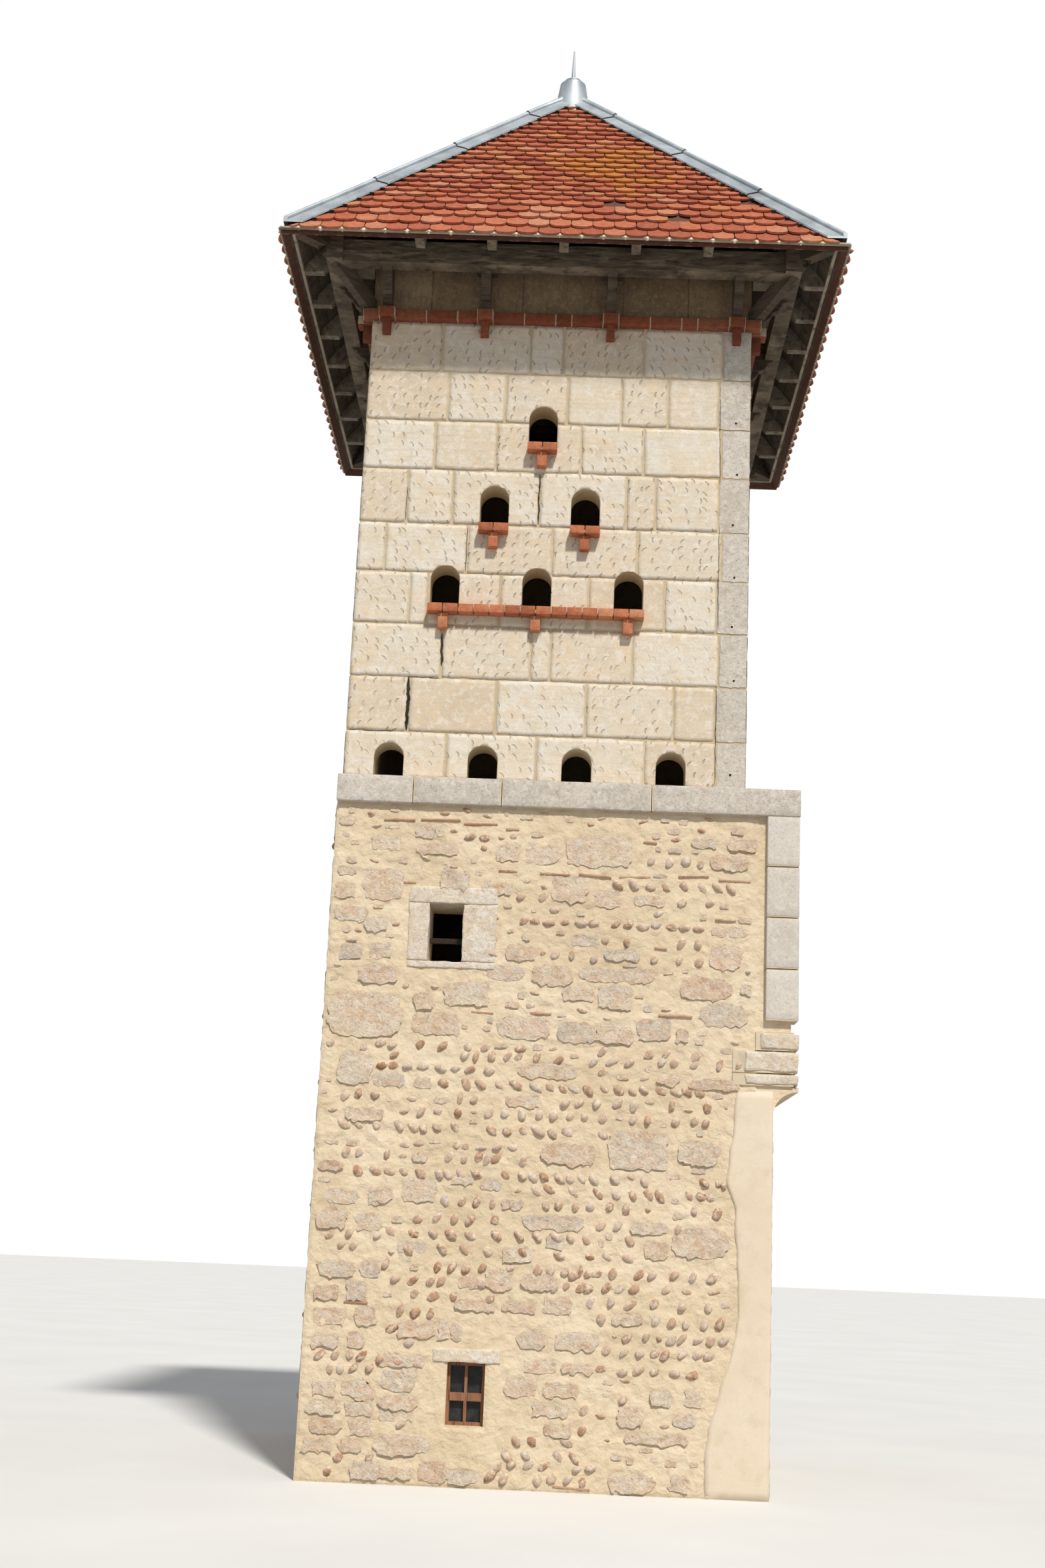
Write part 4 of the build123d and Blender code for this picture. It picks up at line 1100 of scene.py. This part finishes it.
def layRubblePebble(pebbles, x, z, room, lean, chance):
    # the longer side leans as the row does, and stays within the room beside it
    long = min(chance.uniform(*rubble["pebbleLong"]), 1.05 * room / max(0.5, math.cos(lean)))
    short = min(chance.uniform(*rubble["pebbleShort"]), long * 0.78, room)
    lean, out = lean + chance.gauss(0, 0.22), chance.uniform(*rubble["pebbleOut"])
    row = bmesh.new()
    layPebble(row, x, z, long, short, lean, out, chance)
    gather(pebbles, row)


def layShard(flat, left, right, z, chance):
    low = Vector((left, z - rubble["shardThick"] / 2, -0.02))
    high = Vector((right, z + rubble["shardThick"] / 2, chance.uniform(*rubble["shardOut"])))
    middle = Matrix.Translation(((left + right) / 2, z, 0))
    turn = middle @ Matrix.Rotation(chance.gauss(0, 0.03), 4, "Z") @ middle.inverted()
    gather(flat, wornBlock(low, high, 0.05, 0.003, 0.005), turn)


def free(x, z, taken):
    return not any(a < x < b and c < z < d for a, b, c, d in taken)


# the mortar's face: how far out it lies, then each wave's height and its pace across and up
mortar = {"out": 0.0065, "waves": ((0.0055, 5, 13, 0), (0.0045, 21, 26, 5), (0.003, 47, 53, 9))}


def mortarSkin(name, matrix, area, taken, cell, shift):
    # the mortar's own lumpy face: ledges along the courses, with openings left free
    left, right, low, high = area
    bm = bmesh.new()
    bmesh.ops.create_grid(
        bm,
        x_segments=round((right - left) / cell),
        y_segments=round((high - low) / cell),
        size=0.5,
    )
    for vert in bm.verts:
        vert.co.x = left + (vert.co.x + 0.5) * (right - left)
        vert.co.y = low + (vert.co.y + 0.5) * (high - low)
    middles = [(face, face.calc_center_median()) for face in bm.faces]
    gone = [face for face, middle in middles if not free(middle.x, middle.y, taken)]
    bmesh.ops.delete(bm, geom=gone, context="FACES")
    for vert in bm.verts:
        out = mortar["out"]
        for height, across, up, own in mortar["waves"]:
            out += height * noise.noise(Vector((vert.co.x * across, vert.co.y * up, shift + own)))
        vert.co.z = -0.001 if vert.is_boundary else out
    finished(bm, name, rubbleMortar, matrix)


seeded = {
    "course": (0.12, 0.17),
    "stretch": (0.3, 1.0),
    "stone": (0.13, 0.32),
    "gap": (0.02, 0.06),
    "pace": (0.085, 0.125),
    "full": 0.82,
    "shards": 0.12,
}


def seededRows(stones, pebbles, flat, area, taken, chance, share=0.5):
    # courses of stones and pebbles, in stretches, with a few shards, where the photo shows none
    left, right, low, high = area
    z = low + 0.02
    while z < high - 0.09:
        tall = chance.uniform(*seeded["course"])
        x = left + chance.uniform(0.0, 0.05)
        places = ((0.02, 0.035), (0.068, 0.035 + tall * 0.55)) if tall > 0.14 else ((0.03, 0.04),)
        while x < right - 0.1:
            stretch = min(x + chance.uniform(*seeded["stretch"]), right)
            layStones = chance.random() < share
            lean = chance.choice(rubble["leans"])
            while x < stretch - 0.05:
                if layStones:
                    wide = min(chance.uniform(*seeded["stone"]), right - x)
                    top = tall * chance.uniform(0.5, 0.85)
                    spots = [(x + wide * p, z + top * q) for p in (0, 0.5, 1) for q in (0, 0.5, 1)]
                    if wide > 0.09 and all(free(a, b, taken) for a, b in spots):
                        layRubbleStone(stones, x, x + wide, z, z + top, chance)
                    x += wide + chance.uniform(*seeded["gap"])
                else:
                    for over, up in places:
                        if free(x + over, z + up, taken) and chance.random() < seeded["full"]:
                            across = x + over + chance.uniform(0, 0.02)
                            height = z + up + chance.uniform(-0.012, 0.012)
                            layRubblePebble(pebbles, across, height, 0.085, lean, chance)
                    x += chance.uniform(*seeded["pace"])
            if chance.random() < seeded["shards"] and free(x - 0.25, z, taken):
                layShard(flat, max(left, x - chance.uniform(0.16, 0.28)), x - 0.02, z - 0.008, chance)
        z += tall


def finishRubble(name, stones, pebbles, flat, matrix):
    finished(stones, name + "Stones", rubbleStone, matrix)
    finished(settled(pebbles), name + "Pebbles", pebbleStone, matrix)
    finished(flat, name + "Shards", shardClay, matrix)


# the tables of the lower front, from centimetres to metres
lowerStones = [tuple(value / 100 for value in stone) for stone in lowerStones]
pebbleRows = [(z / 100, [x / 100 for x in places]) for z, places in pebbleRows]
shards = [tuple(value / 100 for value in shard) for shard in shards]
# left, right, foot and head of what the rubble and its mortar keep clear of
windowClear = (-0.62, -0.1, 0.28, 1.12)
openings = [(-0.79, -0.53, 3.55, 3.985), (-0.51, -0.23, 0.385, 0.82)]
openings += [(1.50, 1.9, -0.1, 2.6), (1.59, 1.9, 2.6, 4.8)]

chance = random.Random(8)
stones, pebbles, flat = bmesh.new(), bmesh.new(), bmesh.new()
for left, right, low, high in lowerStones:
    layRubbleStone(stones, left, right, low, high, chance)
for z, places in pebbleRows:
    lean = chance.choice(rubble["leans"])
    for x in places:
        room = min([abs(x - other) for other in places if other != x] + [0.09]) + 0.002
        layRubblePebble(pebbles, x, z + chance.uniform(-0.01, 0.01), room, lean, chance)
for left, right, z in shards:
    layShard(flat, left, right, z, chance)
mortarSkin("frontMortar", frontLower, (-1.498, 1.697, 0.002, 4.70), openings, 0.016, 3)
# where the photo doesn't show the wall's face
seededRows(stones, pebbles, flat, (-1.46, -1.0, 0.02, 1.95), [windowClear], chance)
seededRows(stones, pebbles, flat, (-0.98, 0.5, 0.02, 0.9), [windowClear], chance, 0.7)
seededRows(stones, pebbles, flat, (-0.08, 0.52, 0.90, 1.14), [], chance)
seededRows(stones, pebbles, flat, (-0.50, 0.42, 1.13, 1.42), [], chance)

chips = {
    "tries": 2600,
    "margin": 0.012,
    "wide": (0.04, 0.11),
    "tall": (0.022, 0.05),
    "rounded": 0.35,
    "roundOut": (0.012, 0.022),
    "flatOut": (0.009, 0.016),
    "look": {"rough": 0.012, "rounding": 0.15, "rim": 0.009, "cell": 0.02},
}


def fillBetween(stones, pebbles, area, taken, chance):
    # chips and small stones in the gaps that the larger ones leave
    left, right, low, high = area
    clear = chips["margin"]
    for _ in range(chips["tries"]):
        wide = chance.uniform(*chips["wide"])
        tall = chance.uniform(*chips["tall"])
        x, z = chance.uniform(left, right - wide), chance.uniform(low, high - tall)
        if any(
            x < b + clear and x + wide > a - clear and z < d + clear and z + tall > c - clear
            for a, b, c, d in taken
        ):
            continue
        taken.append((x, x + wide, z, z + tall))
        row = bmesh.new()
        if chance.random() < chips["rounded"]:
            lean, out = chance.gauss(0, 0.25), chance.uniform(*chips["roundOut"])
            layPebble(row, x + wide / 2, z + tall / 2, min(wide, 0.085), tall, lean, out, chance)
            gather(pebbles, row)
        else:
            out = chance.uniform(*chips["flatOut"])
            layStone(row, x, x + wide, z, z + tall, out, chance, **chips["look"])
            gather(stones, row)


taken = lowerStones + openings
taken += [(x - 0.045, x + 0.045, z - 0.04, z + 0.04) for z, places in pebbleRows for x in places]
taken += [(left, right, z - 0.01, z + 0.01) for left, right, z in shards]
taken += [windowClear, (-0.92, -0.42, 3.42, 4.16), (-1.5, 0.5, 0.0, 0.9), (-1.5, -1.0, 0.0, 1.95)]
taken += [(-0.52, 0.44, 1.12, 1.42), (-0.1, 0.54, 0.88, 1.16)]
pierSteps = list(zip(pierEdge["heights"], pierEdge["heights"][1:], pierEdge["left"], pierEdge["left"][1:]))
taken += [(min(first, second) - 0.01, 1.7, lower, upper) for upper, lower, first, second in pierSteps]
fillBetween(stones, pebbles, (-1.48, 1.55, 0.03, 4.69), taken, chance)
finishRubble("frontRubble", stones, pebbles, flat, frontLower)

for name, matrix, area, skin in (
    ("rightRubble", rightLower, (-1.45, 1.41, 2.80, 4.68), (-1.50, 1.50, 2.77, 4.70)),
    ("rightFootRubble", rightFoot, (-1.36, 1.63, 0.02, 2.52), (-1.728, 1.728, 0.002, 2.548)),
    ("backRubble", backLower, (-1.53, 1.43, 0.02, 4.68), (-1.58, 1.498, 0.002, 4.70)),
    ("leftRubble", leftLower, (-1.64, 1.60, 0.02, 4.70), (-1.728, 1.728, 0.002, 4.70)),
):
    stones, pebbles, flat = bmesh.new(), bmesh.new(), bmesh.new()
    seededRows(stones, pebbles, flat, area, [], chance)
    finishRubble(name, stones, pebbles, flat, matrix)
    mortarSkin(name + "Mortar", matrix, skin, [], 0.024, len(name))
print("rubble laid")

bm = bmesh.new()
columns = pierEdge["columns"]
for vert in bmesh.ops.create_grid(bm, x_segments=columns, y_segments=pierEdge["rows"], size=0.5)["verts"]:
    height = (vert.co.y + 0.5) * pierEdge["heights"][0]
    for upper, lower, first, second in pierSteps:
        if lower <= height <= upper:
            start = second + (first - second) * (height - lower) / (upper - lower)
    slow, quick = noise.noise(Vector((3, height * 6, 0))), noise.noise(Vector((7, height * 25, 0)))
    start += pierEdge["waver"][0] * slow + pierEdge["waver"][1] * quick
    column = round((vert.co.x + 0.5) * columns)
    share = min(max(column - 1, 0) / (columns - 2), 1.0)
    folded = column in (0, columns) or vert.is_boundary
    vert.co.x = start + (pierEdge["right"] - start) * share
    vert.co.y = height
    bulge = 1 - 0.45 ** (1 + 5 * share)
    vert.co.z = -0.002 if folded else pierEdge["thick"] * bulge + 0.0025 * noise.noise(vert.co * 3.5)
finished(bm, "pierFace", pierRender, frontLower)

roofPitch = math.radians(50)
eaveX, eaveY = 2.122, 2.327
eaveZ = 9.06 - 0.06 * math.tan(roofPitch)
slopeLength = eaveX / math.cos(roofPitch)
# each slope: its name, its turn, half its width and its distance from the middle
roofSides = (
    ("front", 0, eaveX, eaveY),
    ("right", math.pi / 2, eaveY, eaveX),
    ("back", math.pi, eaveX, eaveY),
    ("left", -math.pi / 2, eaveY, eaveX),
)


def slopePlane(turn, depth):
    # local X runs along the eave, local Y up the slope, local Z out of it
    eave = Matrix.Rotation(turn, 4, "Z") @ Matrix.Translation((0, -depth, eaveZ))
    return eave @ Matrix.Rotation(roofPitch, 4, "X")


def trimHips(bm, reach):
    for side in (-1, 1):
        trim(bm, (side * reach, 0, 0), (side, math.cos(roofPitch), 0))


tiling = {
    "pitch": 0.164,
    "gap": 0.005,
    "round": 0.062,
    "thick": 0.016,
    "lift": 0.031,
    "fall": 0.021,
    "clear": 0.088,
    "cover": 0.075,
    "rows": (
        -0.05, 0.115, 0.29, 0.426, 0.571, 0.704, 0.816, 0.921, 1.036,
        1.144, 1.262, 1.38, 1.492, 1.606, 1.721, 1.837, 1.954,
    ),
    "exposure": 0.115,
    "astray": (0.0015, 0.003, -0.001, 0.0015, 0.008),
    "past": 0.08,
    "dab": {"down": 0.016, "wide": 0.036, "tall": 0.05, "out": 0.014},
    "starts": (0.706, 0.03, 0.05, 0.02),
    "missing": (("front", 2, 0.9), ("front", 4, 0.4), ("front", 5, 1.4)),
}


def tileShape(exposure):
    # local X across the slope, Y up it, Z out of it; the tip is at the origin
    bm = bmesh.new()
    made = bmesh.ops.create_grid(bm, x_segments=8, y_segments=1, size=0.5)["verts"]
    wide = tiling["pitch"] - tiling["gap"]
    for vert in made:
        a = math.sin(vert.co.x * math.pi)
        tip = tiling["round"] * (1 - math.sqrt(max(0.0, 1 - a * a)))
        vert.co.y = tip if vert.co.y < 0 else exposure + tiling["cover"]
        vert.co.x = a / 2 * wide
    bmesh.ops.solidify(bm, geom=bm.faces[:], thickness=tiling["thick"])
    bmesh.ops.recalc_face_normals(bm, faces=bm.faces)
    top = max(vert.co.z for vert in bm.verts)
    for vert in bm.verts:
        vert.co.z += tiling["lift"] - top - tiling["fall"] * vert.co.y / exposure
    return bm


def layTiles(name, turn, half, depth, start, chance):
    pitch, dab = tiling["pitch"], tiling["dab"]
    across, up, lowest, highest, turned = tiling["astray"]
    rows = list(tiling["rows"])
    while rows[-1] < slopeLength:
        rows.append(rows[-1] + tiling["exposure"])
    total = bmesh.new()
    for index, tip in enumerate(rows[:-1]):
        exposure = rows[index + 1] - tip
        width = half - max(tip, 0) * math.cos(roofPitch) + tiling["past"]
        proto = tileShape(exposure)
        mesh = bpy.data.meshes.new("tile")
        proto.to_mesh(mesh)
        proto.free()
        offset = start + (index % 2) * pitch / 2
        first = math.ceil((-width - offset) / pitch)
        row = bmesh.new()
        while offset + first * pitch < width:
            x = offset + first * pitch
            first += 1
            if (name, index, round(x, 1)) in tiling["missing"]:
                continue
            before = len(row.verts)
            row.from_mesh(mesh)
            row.verts.ensure_lookup_table()
            spot = (x + chance.gauss(0, across), tip + chance.gauss(0, up), chance.uniform(lowest, highest))
            matrix = Matrix.Translation(spot) @ Matrix.Rotation(chance.gauss(0, turned), 4, "Z")
            bmesh.ops.transform(row, matrix=matrix, verts=row.verts[before:])
        bpy.data.meshes.remove(mesh)
        gather(total, row)
    trimHips(total, half - tiling["clear"])
    trim(total, (0, slopeLength - 0.04, 0), (0, 1, 0))
    fillHoles(total)
    # a dab of mortar under each tile of the eave
    dabs = bmesh.new()
    x = start + pitch / 2 - 20 * pitch
    while x < half - 0.1:
        if x > -half + 0.1:
            one = bmesh.new()
            foot = -dab["down"] + chance.uniform(-0.005, 0.005)
            layPebble(one, x, foot, dab["wide"], dab["tall"], 0.0, dab["out"], chance)
            gather(dabs, settled(one))
        x += pitch
    finished(total, name + "Tiles", tileClay, slopePlane(turn, depth), smooth=False)
    finished(dabs, name + "TilesMortar", pierRender, slopePlane(turn, depth))


chance = random.Random(12)
for (name, turn, half, depth), start in zip(roofSides, tiling["starts"]):
    layTiles(name, turn, half, depth, start, chance)
print("tiles laid")

eaveStrip = {"from": -0.036, "to": -0.008, "low": -0.008, "high": 0.011, "past": 0.02}
total = bmesh.new()
for name, turn, half, depth in roofSides:
    low = Vector((-half - eaveStrip["past"], eaveStrip["from"], eaveStrip["low"]))
    high = Vector((half + eaveStrip["past"], eaveStrip["to"], eaveStrip["high"]))
    gather(total, wornBlock(low, high, 0.25, 0.002, 0.002), slopePlane(turn, depth))
finished(total, "eaveStrip", paleBoards)

# the boards that carry the tiles, seen from below
boards = {
    "from": 0.012,
    "wide": 0.17,
    "gap": 0.005,
    "thick": 0.006,
    "under": 0.0405,
    "short": 0.0306,
    "clear": 0.036,
    "last": 0.12,
}
for name, turn, half, depth in roofSides:
    total = bmesh.new()
    at = boards["from"]
    while at < slopeLength - boards["last"]:
        wide = half - boards["short"] - at * math.cos(roofPitch)
        low = Vector((-wide, at, -boards["under"] - boards["thick"] - chance.uniform(0, 0.002)))
        high = Vector((wide, at + boards["wide"] - boards["gap"], -boards["under"]))
        gather(total, wornBlock(low, high, 0.5, 0.002, 0.0015))
        at += boards["wide"]
    trimHips(total, half - boards["clear"])
    fillHoles(total)
    finished(total, name + "Boards", roofBoards, slopePlane(turn, depth))
print("boards laid")

# zinc folded over the hips, lifted onto the tiles and lapped where one sheet ends
zinc = {"lift": 0.036, "laps": (0.289, 0.559, 0.829), "step": 0.010, "seam": 0.007, "hair": 0.0005}


def lapHip(total, side):
    # the two caps of one end meet at the top, so each is worked on its own side
    foot = min(total.verts, key=lambda vert: vert.co.z).co
    corner = Vector((side * eaveX, math.copysign(eaveY, foot.y), eaveZ))
    top = Vector((0, math.copysign(eaveY - eaveX, foot.y), eaveZ + eaveX * math.tan(roofPitch)))
    rise = (top - corner).normalized()
    length = (top - corner).length
    laps = [lap * length for lap in zinc["laps"]]
    for lap in laps:
        for shift in (0, zinc["seam"]):
            own = [face for face in total.faces if face.calc_center_median().x * side > 0]
            geom = list(dict.fromkeys(part for face in own for part in [face, *face.edges, *face.verts]))
            bmesh.ops.bisect_plane(total, geom=geom, plane_co=corner + rise * (lap + shift), plane_no=rise)
    # the thin band of each seam takes the second material, painted shade for the lap's shadow line
    for face in total.faces:
        middle = face.calc_center_median()
        along = (middle - corner).dot(rise)
        inSeam = any(zinc["hair"] < along - lap < zinc["seam"] - zinc["hair"] for lap in laps)
        if middle.x * side > 0 and inSeam:
            face.material_index = 1
    stops = [0.0] + [lap + 0.003 for lap in laps] + [length]
    for vert in total.verts:
        along = (vert.co - corner).dot(rise)
        for start, end in zip(stops, stops[1:]):
            if vert.co.x * side > 0 and start <= along < end:
                vert.co.z += zinc["step"] * (1 - (along - start) / (end - start))


def zincCaps(source, name):
    total = bmesh.new()
    total.from_mesh(nodes[source].data)
    bmesh.ops.remove_doubles(total, verts=total.verts, dist=mergeReach)
    bmesh.ops.translate(total, verts=total.verts, vec=(0, 0, zinc["lift"]))
    for side in (-1, 1) if "hip" in source else ():
        lapHip(total, side)
    piece = finished(total, name, zincSheet, replaced=[source], smooth=False)
    # the second material paints the shade in the laps' seams
    piece.data.materials.append(gapShade)


zincCaps("front_hip_caps", "frontHipSheet")
zincCaps("back_hip_caps", "backHipSheet")
zincCaps("ridge_cap", "ridgeSheet")

# painted shade: dark blocks for the shaded steps where the rows of tiles run under the zinc
notch = {
    "edge": 0.148,
    "inner": 0.0187,
    "outer": 0.0153,
    "down": 0.004,
    "tall": 0.015,
    "low": 0.012,
    "high": 0.0345,
}
total = bmesh.new()
for name, turn, half, depth in roofSides:
    tips = list(tiling["rows"][1:])
    while tips[-1] < slopeLength - 0.35:
        tips.append(tips[-1] + tiling["exposure"])
    row = bmesh.new()
    for tip in tips:
        for side in (-1, 1):
            edge = half - tip * math.cos(roofPitch) - notch["edge"]
            first, last = sorted((side * (edge - notch["inner"]), side * (edge + notch["outer"])))
            low = Vector((first, tip - notch["down"], notch["low"]))
            high = Vector((last, tip - notch["down"] + notch["tall"], notch["high"]))
            gather(row, wornBlock(low, high, 1, 0.003, 0.0))
    gather(total, row, slopePlane(turn, depth))
finished(total, "hipNotches", gapShade, smooth=False)
print("zinc laid")

bpy.ops.mesh.primitive_plane_add(size=160, location=(0, 40, 0))
floor = bpy.context.object
floor.name = "floor"
floorMaterial, tree, shader, place = startMaterial("floorMaterial")
dapple = grain(tree, place, 0.6, 3, 0.5)
paleFloor = ramp(tree, dapple, [(0.3, (0.76, 0.755, 0.745)), (0.7, (0.80, 0.795, 0.785))])
# the floor throws back less light than it shows, so that the eaves keep their shade
seen = tree.nodes.new("ShaderNodeLightPath").outputs["Is Camera Ray"]
surface(tree, shader, blend(tree, seen, (0.48, 0.475, 0.465), paleFloor), 0.9, [(dapple, 0.05, 0.01)])
floor.data.materials.append(floorMaterial)

# the sky lights the part softly, and the camera sees it white
world = bpy.data.worlds.new("studio")
bpy.context.scene.world = world
world.use_nodes = True
tree = world.node_tree
soft = tree.nodes["Background"]
soft.inputs["Color"].default_value = (0.93, 0.96, 1.0, 1)
soft.inputs["Strength"].default_value = 0.37
white = tree.nodes.new("ShaderNodeBackground")
white.inputs["Color"].default_value = (1, 1, 1, 1)
path = tree.nodes.new("ShaderNodeLightPath")
mix = tree.nodes.new("ShaderNodeMixShader")
tree.links.new(path.outputs["Is Camera Ray"], mix.inputs[0])
tree.links.new(soft.outputs[0], mix.inputs[1])
tree.links.new(white.outputs[0], mix.inputs[2])
tree.links.new(mix.outputs[0], tree.nodes["World Output"].inputs["Surface"])

sunlight = {"energy": 3.2, "width": 5, "colour": (1.0, 0.965, 0.9), "aim": (-0.32, 1.0, -1.2)}
sunLamp = bpy.data.lights.new("sun", "SUN")
sunLamp.energy = sunlight["energy"]
sunLamp.angle = math.radians(sunlight["width"])
sunLamp.color = sunlight["colour"]
sun = bpy.data.objects.new("sun", sunLamp)
sun.rotation_euler = Vector(sunlight["aim"]).to_track_quat("-Z", "Y").to_euler()
bpy.context.scene.collection.objects.link(sun)

# where the photo was taken from, in metres and radians
view = {"place": (0.1652, -15.484, 1.5551), "pitch": 0.2374, "roll": 0.0421, "yaw": -0.0232, "lens": 44.44}
ahead = Vector((math.sin(view["yaw"]), math.cos(view["yaw"]), 0))
side = Vector((math.cos(view["yaw"]), -math.sin(view["yaw"]), 0))
up = Vector((0, 0, 1))
forward = math.cos(view["pitch"]) * ahead + math.sin(view["pitch"]) * up
over = math.cos(view["pitch"]) * up - math.sin(view["pitch"]) * ahead
imageRight = math.cos(view["roll"]) * side + math.sin(view["roll"]) * over
imageUp = math.cos(view["roll"]) * over - math.sin(view["roll"]) * side
lens = bpy.data.cameras.new("camera")
lens.lens = view["lens"]
lens.sensor_fit = "VERTICAL"
lens.sensor_height = 36
lens.clip_end = 400
camera = bpy.data.objects.new("camera", lens)
turned = Matrix((imageRight, imageUp, -forward)).transposed().to_4x4()
camera.matrix_world = Matrix.Translation(view["place"]) @ turned
bpy.context.scene.collection.objects.link(camera)
bpy.context.scene.camera = camera
bpy.context.scene.view_settings.view_transform = "Standard"
